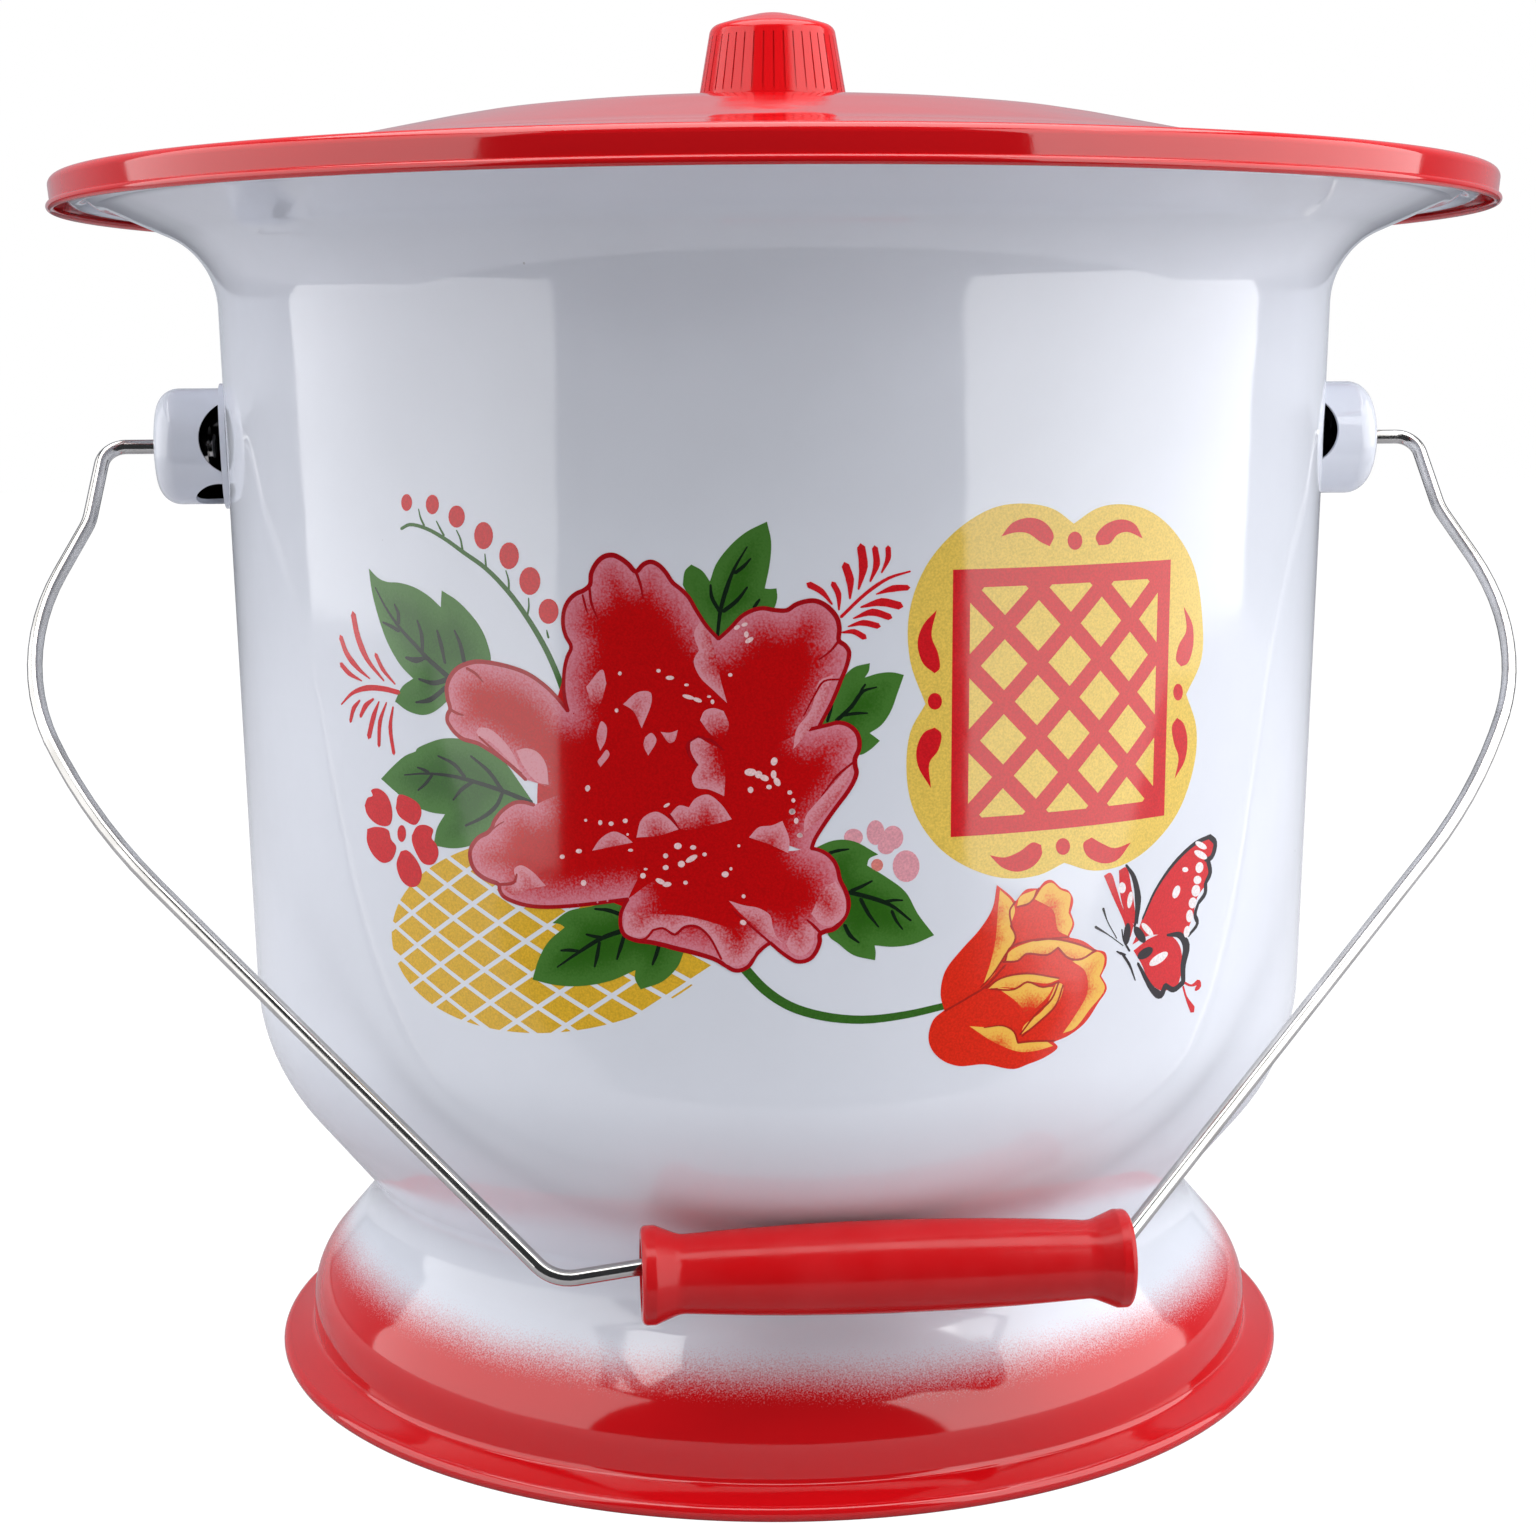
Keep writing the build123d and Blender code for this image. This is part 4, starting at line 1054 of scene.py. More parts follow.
stamen_dots = [
    (-25.6, 153, 1.04, 0.36, -14),
    (-24, 152.5, 0.80, 0.36, -19),
    (-14.9, 139.9, 1.03, 0.65, 0),
    (-13.5, 139.5, 0.65, 0.64, 84),
    (-12.5, 138.9, 0.80, 0.52, -21),
    (-10.9, 139.5, 0.73, 0.48, 90),
    (-10.3, 138.2, 0.81, 0.52, -61),
    (-11.7, 137.3, 0.48, 0.40, -0),
    (-14.9, 136.8, 0.53, 0.48, 88),
    (-10.8, 141.8, 0.72, 0.56, 71),
    (-15.5, 163.9, 0.55, 0.39, 89),
    (-15, 162.9, 0.79, 0.40, 30),
    (-17.1, 165.1, 0.55, 0.35, 30),
    (-15.8, 165.6, 0.55, 0.32, 20),
    (-18.3, 156.9, 0.36, 0.32, 2),
    (-28.8, 156.3, 0.73, 0.36, 1),
    (-25.9, 155.1, 0.40, 0.24, 1),
    (-30.8, 157.5, 0.37, 0.32, 6),
    (-37.7, 156.9, 0.36, 0.33, 78),
    (-38.4, 150.4, 0.36, 0.33, 77),
    (-43.9, 136.5, 0.49, 0.43, 78),
    (-7.7, 133, 0.52, 0.45, -2),
    (-8.2, 136.3, 0.36, 0.32, -89),
    (-7.5, 134.9, 0.36, 0.32, -3),
    (-6.4, 128.8, 0.44, 0.37, -2),
    (-21.4, 152.2, 0.40, 0.32, 88),
    (-22, 153.1, 0.36, 0.20, 1),
    (-27.7, 126.7, 0.66, 0.57, 7),
    (-25, 126.5, 0.53, 0.40, 3),
    (-25.3, 124.5, 1.16, 0.48, 31),
    (-27.1, 123.5, 0.62, 0.58, 13),
    (-29.9, 124.9, 0.45, 0.44, 45),
    (-29.9, 122.8, 0.53, 0.44, 7),
    (-30.9, 120.3, 0.88, 0.45, -23),
    (-29.7, 119.8, 0.80, 0.44, 8),
    (-34, 121.2, 0.51, 0.48, 40),
    (-33.5, 122.4, 0.36, 0.22, 4),
    (-19.4, 121.8, 0.61, 0.53, 4),
    (-26.4, 120.2, 0.40, 0.36, 9),
    (-23, 125.3, 0.39, 0.35, 7),
    (-18.4, 122.8, 0.31, 0.26, 88),
    (-16.3, 113.2, 0.57, 0.45, -21),
    (-45, 119.4, 0.55, 0.51, 60),
    (-45.8, 125.1, 0.57, 0.40, 7),
    (-44, 136.4, 0.53, 0.42, 84),
    (-44.4, 130.7, 0.29, 0.26, 27),
    (-41.7, 130.4, 0.45, 0.37, 82),
    (-39.7, 130.3, 0.46, 0.40, 12),
    (-37.1, 130.9, 0.46, 0.40, 11),
    (-36.2, 125.7, 0.45, 0.27, 4),
    (-36.7, 128.5, 0.23, 0.22, 34),
    (-49, 123.9, 0.48, 0.40, 13),
    (-6.4, 128.7, 0.52, 0.40, -2),
    (-7.7, 132.9, 0.56, 0.48, -2),
    (-8.1, 136.3, 0.39, 0.39, -79),
    (-7.5, 134.9, 0.40, 0.30, -89),
    (-7, 131.3, 0.53, 0.39, -90),
    (-16.2, 117.9, 0.36, 0.35, 78),
    (-17, 126.9, 0.27, 0.26, 75),
    (-29.6, 133.9, 0.63, 0.26, 31),
]
petal_film = first_film + 4.5 * film_step
petal_step = 0.004
peony_red = paint(194, 4, 8)
peony_ink = ink("peony_ink", peony_red, paint(216, 132, 148), 6.5, -0.6, 1.6)
curl_ink = ink("curl_ink", peony_red, paint(222, 150, 162), 4.6, -0.3, 1.2)
outline_ink = ink("outline_ink", paint(168, 8, 20))
pollen_ink = ink("pollen_ink", paint(240, 204, 206))
heart_ink = ink("heart_ink", peony_red)
films = Transfer(petal_film)
for rim_runs, runs in heart_shapes:
    outline, rim = closed_line(rim_runs, runs)
    films.patch(outline, grain=1.8)
films.finish("peony_heart", heart_ink)
films = Transfer(petal_film + petal_step)
lines = Transfer(petal_film + 1.4 * petal_step)
for i, (rim_runs, runs) in enumerate(peony_shapes):
    outline, rim = closed_line(rim_runs, runs)
    films.patch(outline, rim, 1.3, i * petal_step)
    lines.ladder(rim[:-1:3] + rim[-1:], (0.65, 0.9, 0.65), i * petal_step)
top = petal_film + (len(peony_shapes) + 1) * petal_step
films.finish("peony_petals", peony_ink)
films = Transfer(top)
for i, (rim_runs, runs) in enumerate(curl_shapes):
    outline, rim = closed_line(rim_runs, runs)
    films.patch(outline, rim, 1.2, (i % 5) * petal_step / 4)
films.finish("peony_curls", curl_ink)
for widths, points in crease_lines:
    lines.ladder(points, widths, top + petal_step - petal_film)
lines.finish("peony_outlines", outline_ink)
films = Transfer(top + 3 * petal_step)
for place in stamen_dots:
    films.patch(dot(*place))
films.finish("peony_pollen", pollen_ink)


# Medallion
# A yellow four-lobed medallion with red drops round it and a red lattice panel in its middle.
medal_shapes = [
    (4, [
        [(43.8, 181.8), (39.5, 184.5), (33.5, 185.6), (27.6, 184.9), (21, 181.2), (15.6, 175.2),
         (12.7, 167.3), (12.9, 158.9), (15.7, 151.3)],
        [(13, 146.4), (12.4, 138.8), (13.8, 132.4), (17.8, 126.3), (23, 122.3), (30.4, 119.5),
         (37.6, 119.4), (43, 121.2)],
        [(49.6, 119.1), (57.4, 119.7), (65, 123.2), (71.1, 128.7), (74.8, 136.9), (74.9, 143.1),
         (71.7, 149.5)],
        [(75.9, 155.8), (75.6, 164.3), (72.9, 172.9), (67, 179.7), (60.4, 183.6), (53.7, 184.9),
         (48.6, 184.3), (43.8, 181.8)],
    ]),
]
medalred_shapes = [
    (2, [
        [(29.4, 180), (31.5, 182.3), (35, 183.1), (38, 182.1), (39.7, 179.8), (38.9, 178)],
        [(37.1, 178.8), (34.5, 180.4), (32, 180.6), (29.4, 180)],
    ]),
    (2, [
        [(59.3, 178.6), (57.4, 181.2), (54.1, 182.2), (50.4, 181.3), (48.5, 179.3), (49.2, 177.8)],
        [(51.6, 178), (53.3, 179.5), (55.6, 179.9), (59.3, 178.6)],
    ]),
    (2, [
        [(17.6, 167.6), (15.2, 165.1), (14.2, 162), (15.2, 158.4), (17.3, 156.6)],
        [(18.2, 157.4), (17.9, 160.1), (16.7, 163.2), (17.6, 167.6)],
    ]),
    (2, [
        [(16.8, 136.4), (14.4, 140.5), (14.2, 143.7), (15.5, 146.3), (17.4, 147.1)],
        [(18.6, 146), (18.1, 143.1), (16.5, 140.9), (16.8, 136.4)],
    ]),
    (2, [
        [(70.3, 165.8), (73, 162.1), (73.2, 157.9), (71.8, 155.2), (70, 154.8)],
        [(68.6, 156.1), (69.2, 158.7), (71.2, 161.3), (70.3, 165.8)],
    ]),
    (2, [
        [(69.1, 134.1), (71.8, 137.2), (72.4, 140.9), (71.2, 144.1), (69.3, 145.4)],
        [(68, 144), (68.6, 140.8), (70, 137.9), (69.1, 134.1)],
    ]),
    (2, [
        [(27.9, 123.8), (30.9, 123.2), (33.9, 124.1), (36.4, 125.5), (38.1, 124.9)],
        [(38.3, 123.1), (36.5, 121.1), (33.4, 120.4), (30.4, 121.4), (27.9, 123.8)],
    ]),
    (2, [
        [(58.1, 123.4), (54.2, 122.8), (51.2, 124), (48.9, 125.3)],
        [(47.1, 124.4), (47.8, 122.2), (51.3, 120.3), (54.9, 120.5), (58.1, 123.4)],
    ]),
]
medalred_dots = [
    (44.1, 178.8, 1.64, 1.53, -61),
    (17.4, 151.7, 1.48, 1.29, -81),
    (69.4, 150.1, 1.59, 1.31, -71),
    (42.7, 124.2, 1.62, 1.45, -49),
]
panel_low = (20.5, 127.5)
panel_high = (66.5, 174.5)
panel_frame = 3.2
panel_bar = 3.0
panel_columns = 3
pale_yellow_ink = ink("pale_yellow_ink", paint(231, 197, 90))
films = Transfer(first_film)
for rim_runs, runs in medal_shapes:
    outline, rim = closed_line(rim_runs, runs)
    films.patch(closely(outline), grain=2.0)
films.finish("medallion", pale_yellow_ink)
films = Transfer(first_film + film_step)
for rim_runs, runs in medalred_shapes:
    outline, rim = closed_line(rim_runs, runs)
    films.patch(outline, grain=1.6)
for place in medalred_dots:
    films.patch(dot(*place))


def panel(low, high):
    """Corners of an upright rectangle, anticlockwise."""
    (left, bottom), (right, top) = low, high
    return [Vector(p) for p in ((left, bottom), (right, bottom), (right, top), (left, top))]


films.patch(closely(panel(panel_low, panel_high)), grain=2.0)
films.finish("medallion_red", red_ink)
window = panel([c + panel_frame for c in panel_low], [c - panel_frame for c in panel_high])
cell_width = (window[1] - window[0]).x / panel_columns
panel_middle = (window[0] + window[2]) / 2
films = Transfer(first_film + 2 * film_step)
cell_step = cell_width / math.sqrt(2)
for cell in lattice(panel_middle, 6, (45, -45), (cell_step, cell_step), panel_bar, window):
    films.patch(cell, grain=2.0)
films.finish("medallion_lattice", pale_yellow_ink)


# Bud
# A half-open orange bud on a curved stem. Its petals run from red to yellow at their edges.
budstem_lines = [
    ((1.79, 1.61, 1.26), [(-16.2, 105), (-12.6, 101.1), (-8.2, 98.1), (-2.5, 96.2), (4.6, 95.3),
      (12.3, 95.8), (19.7, 97)]),
]
bud_shapes = [
    (0, [
        [(19.6, 96.2), (18.9, 99.1), (19.7, 103.3), (23, 107.3), (26.2, 110.5), (28.6, 114.1),
         (29.4, 118.3)],
        [(31.9, 116.3), (33.1, 115)],
        [(35.2, 117), (37.8, 117)],
        [(39.1, 118.2), (40.4, 118.3), (42.4, 116.7), (44, 116), (45.1, 114.2), (44.6, 111.9)],
        [(45.4, 109.6), (44.3, 107.4)],
        [(47.5, 106.3), (50.3, 104.4)],
        [(52.6, 103.5), (52.9, 101.5), (51.7, 99.3)],
        [(53.1, 96.7), (51.1, 94.2), (48.3, 91), (44.6, 89), (41.4, 88.2)],
        [(42.3, 87.1), (39.7, 85.6), (36.2, 84.7), (33.2, 84.1), (27.3, 85.6), (22.4, 85.7),
         (19.2, 87.1), (17.3, 89.2), (16.7, 91.5), (17.6, 94.6), (19.6, 96.2)],
    ]),
]
budglow_shapes = [
    (2, [
        [(30, 117.4), (32.3, 115.2), (33, 113.4), (32, 110.6)],
        [(33, 108.4), (31, 105.3), (28.8, 101.8), (26.9, 100.2)],
        [(28.3, 104.1), (29.3, 108.7), (29.6, 113.3), (30, 117.4)],
    ]),
    (1, [
        [(33.4, 114.1), (34, 115.8), (37.2, 116.8)],
        [(36.1, 114.4), (33.4, 114.1)],
    ]),
    (2, [
        [(37, 115.1), (38.7, 117.3), (40.4, 117.8), (42.2, 116.4), (44.4, 115.2), (44.1, 111.9)],
        [(45, 109.9), (44, 107.7)],
        [(41.9, 109), (40.9, 112.6), (37, 115.1)],
    ]),
    (1, [
        [(31.2, 104.3), (32, 105.9), (36.2, 107.3), (41.9, 107.2), (46.5, 105.8), (49.9, 104)],
        [(48, 103.3), (45.2, 103.2), (42, 105.6)],
        [(39.8, 104.6), (35.4, 105.4), (33.7, 104.2), (31.2, 104.3)],
    ]),
    (2, [
        [(45.2, 102.8), (48, 103.1), (50.8, 103.9), (52.3, 102.8), (52.1, 100.8), (51.3, 99.3)],
        [(52.6, 96.8), (49.2, 93.3), (45.9, 90.2), (43.4, 89.6)],
        [(45.9, 92.5), (48.6, 96.5), (48.1, 100.5), (45.2, 102.8)],
    ]),
    (1, [
        [(28, 99.5), (30.4, 101.1), (35.5, 101.4), (39.8, 100.7), (42.3, 99.8)],
        [(39.9, 99.3), (35.7, 100), (33.8, 99.2), (30.9, 99.5), (28, 99.5)],
    ]),
    (1, [
        [(29.6, 99.6), (33.8, 99), (35.7, 99.8), (39, 98.7), (41.1, 98.5)],
        [(39.9, 96.8), (35.6, 93.7)],
        [(33.8, 96.3), (29.6, 99.6)],
    ]),
    (1, [
        [(34.6, 90.4), (35.2, 92), (39.1, 94.5), (41.9, 99.3)],
        [(43.2, 98.6), (42.6, 96.1), (40, 93.3), (34.6, 90.4)],
    ]),
    (2, [
        [(24.4, 92.9), (28, 92.4), (30.9, 92.4), (33.1, 91.3), (34, 88.9)],
        [(36.5, 89.1), (39.6, 88.6), (41.3, 87.5)],
        [(37.4, 87), (34, 87.3), (28.9, 89.7), (24.4, 92.9)],
    ]),
]
budline_lines = [
    ((0.36, 0.36, 0.36), [(33.1, 115), (32, 113.5), (32.4, 110.5)]),
    ((0.36, 0.36, 0.24), [(32.4, 110.5), (33.2, 108.3), (31.2, 105.4), (28.7, 102), (26.5, 99.9)]),
    ((0.38, 0.38, 0.38), [(31.2, 104.3), (32, 106.5), (36.2, 107.6), (41.5, 107.3), (46.5, 105.8),
      (50.3, 104.1)]),
    ((0.37, 0.37, 0.37), [(30.8, 104.2), (33.7, 104.1), (35.4, 105.2), (39.8, 104.6), (42, 105.7)]),
    ((0.39, 0.39, 0.39), [(42, 105.7), (44.3, 103.5), (47.1, 103), (50.3, 104.3)]),
    ((0.33, 0.33, 0.33), [(44.3, 107.4), (41.5, 107.5), (37.1, 107.5)]),
    ((0.33, 0.33, 0.33), [(37.8, 117), (36.1, 114.6), (33.4, 114)]),
    ((0.33, 0.37, 0.33), [(27.5, 99.6), (30.4, 101.2), (35.5, 101.6), (42.3, 100)]),
    ((0.33, 0.37, 0.33), [(28.4, 99.4), (33, 98.9), (35.7, 100), (39, 98.7), (42.3, 99.3)]),
    ((0.37, 0.41, 0.33), [(42.3, 99.3), (40.8, 96.3), (37.3, 93.6), (34.4, 90.4)]),
    ((0.33, 0.37, 0.33), [(43.2, 98.6), (41.7, 95), (38.2, 92.3), (34.8, 90.1)]),
    ((0.37, 0.41, 0.33), [(34, 88.9), (36.5, 88.9), (41.6, 88.4)]),
    ((0.4, 0.32, 0.2), [(34, 88.9), (33.1, 91.1), (30.9, 92.4), (27.2, 92.4)]),
    ((0.36, 0.36, 0.36), [(19.8, 96.1), (24.3, 98.3), (27.5, 100), (31.2, 103.5)]),
]
bud_red = paint(222, 44, 24)
bud_ink = ink("bud_ink", bud_red)
glow_ink = ink("glow_ink", bud_red, paint(242, 190, 84), 4.2, 0.4, 1.0)
bud_line_ink = ink("bud_line_ink", paint(168, 36, 28))
films = Transfer(first_film + film_step)
for widths, points in budstem_lines:
    films.ladder(points, widths)
films.finish("bud_stem", green_ink)
films = Transfer(first_film + 2 * film_step)
for rim_runs, runs in bud_shapes:
    outline, rim = closed_line(rim_runs, runs)
    films.patch(outline, grain=1.6)
films.finish("bud", bud_ink)
films = Transfer(first_film + 3 * film_step)
for i, (rim_runs, runs) in enumerate(budglow_shapes):
    outline, rim = closed_line(rim_runs, runs)
    films.patch(outline, rim, 1.1, i * film_step / 8)
films.finish("bud_glow", glow_ink)
films = Transfer(first_film + 5 * film_step)
for widths, points in budline_lines:
    films.ladder(points, widths)
films.finish("bud_lines", bud_line_ink)


# Butterfly
# Red wings with dark edges and white spots, a thin dark body and two feelers.
wingred_shapes = [
    (4, [
        [(61.4, 108.7), (64.5, 113.4), (68.9, 117.6), (73.6, 120.2), (78.7, 121.7)],
        [(81.5, 120.3), (80.3, 116.9), (80.1, 113.6), (76.6, 110.5), (75.5, 107.1), (73.1, 103.6)],
        [(67.6, 104.8), (63.1, 105.3), (59.1, 104.2)],
        [(60.4, 106.4), (61.4, 108.7)],
    ]),
    (2, [
        [(59.4, 103), (63.7, 104.8), (68.2, 104.9), (71.9, 102), (72.7, 97.8), (71.6, 94.3)],
        [(66.9, 94.3), (63.4, 96.8), (61.7, 99.9), (59.4, 103)],
    ]),
    (2, [
        [(51.9, 117.9), (53.4, 118.3), (55, 115), (56.6, 111.3), (59.3, 107.8)],
        [(58.3, 105.5), (56.8, 108.9), (54, 113.9), (51.9, 117.9)],
    ]),
    (2, [
        [(55.4, 118.5), (57.1, 118.9), (58.6, 114.6), (59.5, 110.5), (59.8, 107.7)],
        [(57.9, 109.1), (56, 113.3), (55.4, 118.5)],
    ]),
]
ink_lines = [
    ((0.39, 0.68, 0.87), [(61.5, 108.7), (64.6, 113.6), (69.5, 118.1), (75.5, 121.1), (80.1, 121.8)]),
    ((1.07, 1.39, 0.75), [(80.1, 121.8), (82, 120.3), (81, 117.8), (78.9, 117.5)]),
    ((1.17, 1.28, 0.96), [(79.7, 117.5), (80.6, 114.8), (79.2, 113)]),
    ((1.06, 1.06, 0.84), [(79.2, 113), (79.2, 111.1), (77.3, 109.6)]),
    ((0.73, 1.04, 0.52), [(77.2, 109.6), (76.2, 107.4), (77, 105.6), (74.3, 103.6)]),
    ((0.51, 2.03, 1.12), [(68.2, 104.7), (71.8, 104.1), (73.8, 101.7), (73, 98.1), (73.2, 94.9)]),
    ((1.19, 1.09, 0.99), [(73.2, 94.9), (70.4, 93.9), (68, 95.1)]),
    ((1.14, 1.62, 0.57), [(68, 95.1), (66.9, 93.5), (64.6, 94.8), (60.6, 100.4)]),
    ((0.46, 1.56, 0.46), [(57.1, 119.3), (59, 116.9), (60.2, 112.8), (60, 109.3), (59.5, 107.5)]),
    ((0.46, 0.37, 0.28), [(60.5, 111.8), (60.4, 110), (60.2, 108)]),
    ((0.53, 0.18, 0.18), [(51.9, 111.8), (52.9, 109.4), (55.2, 105.9)]),
    ((0.53, 0.18, 0.18), [(50.2, 108.6), (53.2, 106.8), (56.8, 104.3)]),
    ((0.55, 0.55, 0.23), [(56.8, 102.6), (58.5, 100.4), (60, 97.3)]),
    ((0.23, 0.54, 0.36), [(55.3, 103.4), (56.3, 102.9), (57.4, 102.5)]),
    ((0.27, 0.36, 0.45), [(56.4, 107.4), (56.9, 105.3), (58.4, 103.1)]),
]
ink_dots = [
    (57.7, 106.4, 2.04, 0.84, 86),
    (60.9, 105.8, 2.14, 0.88, -48),
    (62.4, 102.1, 2.03, 1.00, 13),
]
wingwhite_dots = [
    (62.8, 106.5, 2.05, 0.60, -42),
    (66, 100.5, 2.57, 0.93, 16),
    (56.2, 115.2, 1.06, 0.88, -65),
    (58.2, 112.7, 1.55, 0.64, 82),
    (70.4, 112.6, 1.29, 0.96, 51),
    (77.4, 120.5, 1.96, 0.57, -24),
    (77.4, 118.7, 2.22, 0.65, -24),
    (77.1, 116.3, 1.22, 1.03, -14),
    (76.6, 114, 1.21, 0.79, -14),
    (76.2, 112, 1.34, 1.11, -15),
    (75.3, 109.8, 1.19, 1.03, -16),
    (74.5, 107.4, 1.21, 1.02, -79),
    (73.8, 104.5, 1.11, 0.91, 79),
    (72.8, 116.5, 0.89, 0.47, -12),
]
wingred_lines = [
    ((0.52, 0.41, 1.04), [(73.2, 94.9), (75.7, 93.8), (77.7, 94.1)]),
    ((1.27, 1.48, 0.74), [(77.7, 94.1), (78.1, 93.4), (77.1, 92.8)]),
    ((0.51, 0.51, 1.54), [(73.2, 94), (74.2, 91.8), (76.3, 89)]),
]
dark_ink = ink("dark_ink", paint(36, 30, 36))
white_ink = ink("white_ink", paint(240, 232, 234))
films = Transfer(first_film + film_step)
for i, (rim_runs, runs) in enumerate(wingred_shapes):
    outline, rim = closed_line(rim_runs, runs)
    films.patch(outline, grain=1.6, lift=i * film_step / 8)
for widths, points in wingred_lines:
    films.ladder(points, widths)
films.finish("wings", red_ink)
films = Transfer(first_film + 2 * film_step)
for widths, points in ink_lines:
    films.ladder(points, widths)
for place in ink_dots:
    films.patch(dot(*place))
films.finish("wing_edges", dark_ink)
films = Transfer(first_film + 3 * film_step)
for place in wingwhite_dots:
    films.patch(dot(*place))
films.finish("wing_spots", white_ink)


# Bail
# One length of hard-drawn steel wire, polished, bent outwards so that it swings clear of the
# lid, with an upset head and a washer on each end inside the ears.
bail_steel, shader = new_material("bail_steel", (0.56, 0.55, 0.53), 0.14, 1.0)
ripples(bail_steel, shader, (500, 0.0000025))
worn = graded(bail_steel, noise(bail_steel, 120, 3), 0.3, 0.7)
connect(
    bail_steel,
    (graded(bail_steel, noise(bail_steel, 160, 2), 0.3, 0.7, 0.11, 0.18), shader.inputs["Roughness"]),
    (between(bail_steel, worn, (0.46, 0.45, 0.43), (0.60, 0.59, 0.58)), shader.inputs["Base Color"]),
)
for name in ("bail_wire", "left_end_washer", "right_end_washer"):
    dress(name, bail_steel)


# Grip
# A moulded tube of soft-gloss plastic that turns and slides freely on the wire. It is scuffed
# in faint patches all over, and its gloss varies a little.
grip_red = (0.51, 0.004, 0.006)
grip_plastic, shader = new_material("grip_plastic", grip_red, 0.2, ior=1.38)
ripples(grip_plastic, shader, (260, 0.00003), (2400, 0.000004))
scuffed = graded(grip_plastic, noise(grip_plastic, 70, 5), 0.35, 0.75)
connect(
    grip_plastic,
    (graded(grip_plastic, noise(grip_plastic, 180, 4), 0.35, 0.65, 0.14, 0.26), shader.inputs["Roughness"]),
    (between(grip_plastic, scuffed, grip_red, (0.54, 0.012, 0.015)), shader.inputs["Base Color"]),
)
dress("bail_grip", grip_plastic)


# Lid
# A low domed pressing with a short skirt and a rolled hem, enamelled in glossy red.
lid_top = 263.896
lid_edge = (147.1, 246.596)
lid_hem = (146.75, 240.946)
lid_hem_round = 0.85
lid_steps = 360
lid_hole = 2.8
knob_seat_radius = 19.745
dome_middle = (68.0, 259.0)
dome_foot = (103.5, 251.332)
dome_round = 112.0
seat_round = 40.0
skirt_round = 1.8
lid_red = (0.60, 0.004, 0.007)
lid_enamel = enamel("lid_enamel", lid_red)
lid_outside = rounded(
    [
        (lid_hole, lid_top),
        (knob_seat_radius, lid_top),
        dome_middle,
        dome_foot,
        lid_edge,
        (lid_edge[0], lid_hem[1]),
    ],
    [seat_round, dome_round, dome_round, skirt_round],
)
lid_profile = rolled_edge(lid_outside, beside(lid_outside, -sheet), lid_hem, lid_hem_round, -1)
lid_mesh = turned_mesh("lid_shell_enamel", lid_profile, lid_steps)
lid = show("lid_shell_enamel", lid_mesh, lid_enamel, "lid", "lid_shell")


# Knob
# Moulded plastic with fine grooves for the fingers. A screw through the lid and a washer hold
# it by a steel bush inside.
knob_plastic, shader = new_material("knob_plastic", (0.60, 0.005, 0.008), 0.14, ior=1.5)
ripples(knob_plastic, shader, (300, 0.00002))
dress("lid_knob", knob_plastic)
fastener_steel, shader = new_material("fastener_steel", (0.58, 0.57, 0.55), 0.3, 1.0)
ripples(fastener_steel, shader, (1800, 0.00001))
for name in ("knob_insert", "knob_washer", "knob_screw"):
    dress(name, fastener_steel)


# Studio
# A pale floor and a white backdrop. The room is dark on the camera's side. Two wide soft lamps
# light the jar's sides, the right-hand one more brightly, and a third hangs above it.
floor_reach = 4.0
floor_front = 0.28
floor_paint, shader = new_material("studio_floor", (0.42, 0.42, 0.44), 0.9)
rays = add_node(floor_paint, "ShaderNodeLightPath")
glow = add_node(floor_paint, "ShaderNodeEmission", Strength=1.2)
share = graded(floor_paint, rays.outputs["Is Camera Ray"], 0.0, 1.0, 0.0, 0.85)
seen = add_node(floor_paint, "ShaderNodeMixShader")
connect(
    floor_paint,
    (share, seen.inputs[0]),
    (shader.outputs[0], seen.inputs[1]),
    (glow.outputs[0], seen.inputs[2]),
    (seen.outputs[0], floor_paint.node_tree.nodes["Material Output"].inputs["Surface"]),
)
floor_mesh = bpy.data.meshes.new("studio_floor")
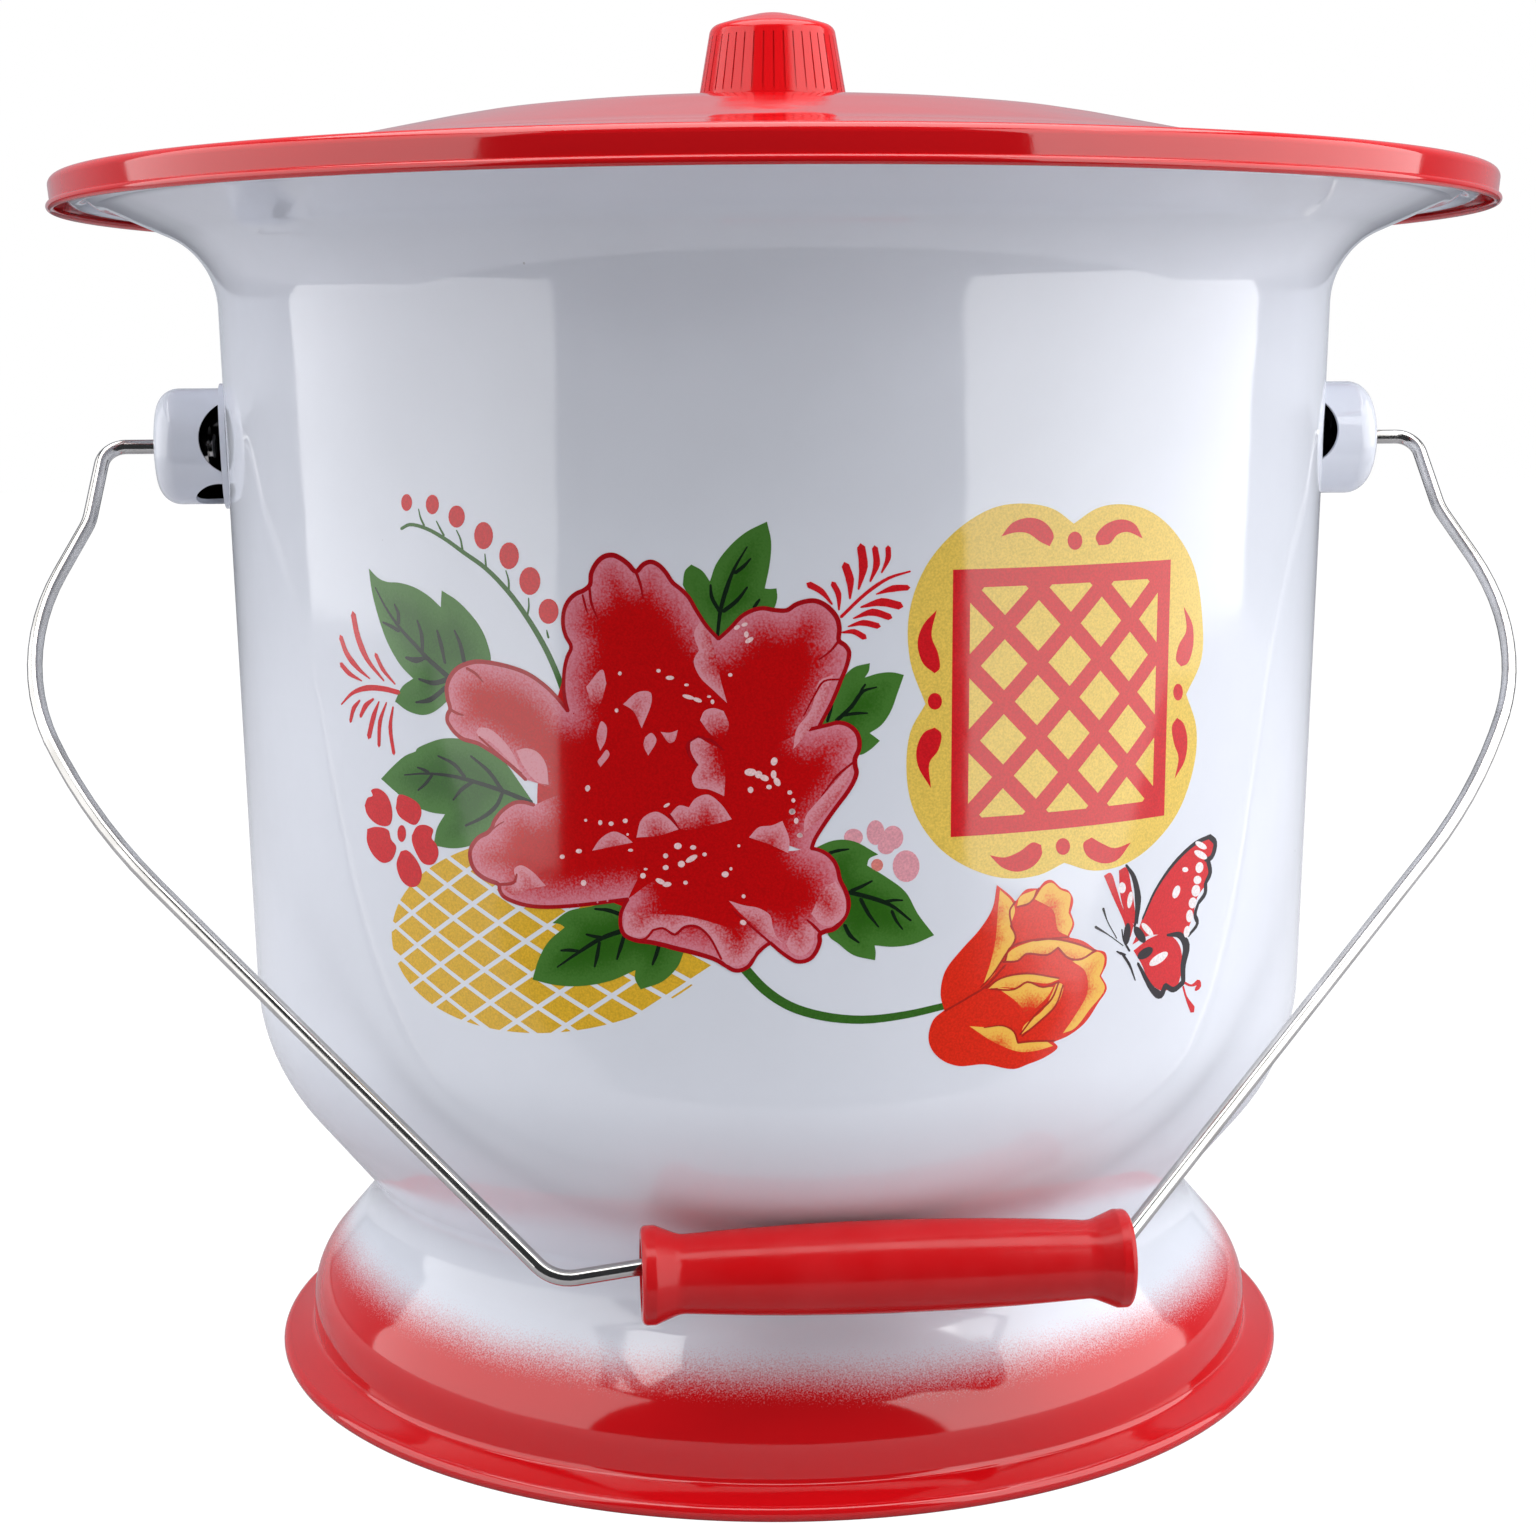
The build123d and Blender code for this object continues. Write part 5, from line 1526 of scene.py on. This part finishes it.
corners = [(x, y, 0) for y in (-floor_front, floor_reach) for x in (-floor_reach, floor_reach)]
floor_mesh.from_pydata(corners, [], [(0, 1, 3, 2)])
floor_mesh.materials.append(floor_paint)
floor = bpy.data.objects.new("studio_floor", floor_mesh)
bpy.context.scene.collection.objects.link(floor)

world = bpy.data.worlds.new("studio")
bpy.context.scene.world = world
world.use_nodes = True
room = world.node_tree.nodes["Background"]
room.inputs["Color"].default_value = (0.88, 0.92, 1.0, 1)
place = add_node(world, "ShaderNodeTexCoord")
parts = add_node(world, "ShaderNodeSeparateXYZ")
backdrop = add_node(world, "ShaderNodeBackground", Strength=1.0)
backdrop.inputs["Color"].default_value = (1, 1, 1, 1)
rays = add_node(world, "ShaderNodeLightPath")
seen = add_node(world, "ShaderNodeMixShader")
connect(world, (place.outputs["Generated"], parts.inputs[0]))
connect(
    world,
    (graded(world, parts.outputs["Y"], 0.0, 0.8, 0.05, 0.48, smooth=True), room.inputs["Strength"]),
    (rays.outputs["Is Camera Ray"], seen.inputs[0]),
    (room.outputs[0], seen.inputs[1]),
    (backdrop.outputs[0], seen.inputs[2]),
    (seen.outputs[0], world.node_tree.nodes["World Output"].inputs["Surface"]),
)


def soft_lamp(name, azimuth, distance, height, width, tall, brightness):
    """Soft lamp that faces the jar. Azimuth 0 is in front of it and 90 to its right."""
    turn = math.radians(azimuth)
    data = bpy.data.lights.new(name, "AREA")
    data.shape = "RECTANGLE"
    data.size = width
    data.size_y = tall
    data.energy = brightness * math.pi * width * tall
    light = bpy.data.objects.new(name, data)
    light.location = (distance * math.sin(turn), -distance * math.cos(turn), height)
    aim = Vector((0, 0, 0.14)) - light.location
    light.rotation_euler = aim.to_track_quat("-Z", "Y").to_euler()
    bpy.context.scene.collection.objects.link(light)


soft_lamp("left_lamp", -79, 1.0, 0.42, 1.4, 1.2, 1.85)
soft_lamp("right_lamp", 66, 1.0, 0.42, 1.55, 1.3, 2.5)
soft_lamp("top_lamp", 0, 0.1, 1.2, 1.6, 1.2, 3.6)

bpy.context.scene.view_settings.view_transform = "Standard"
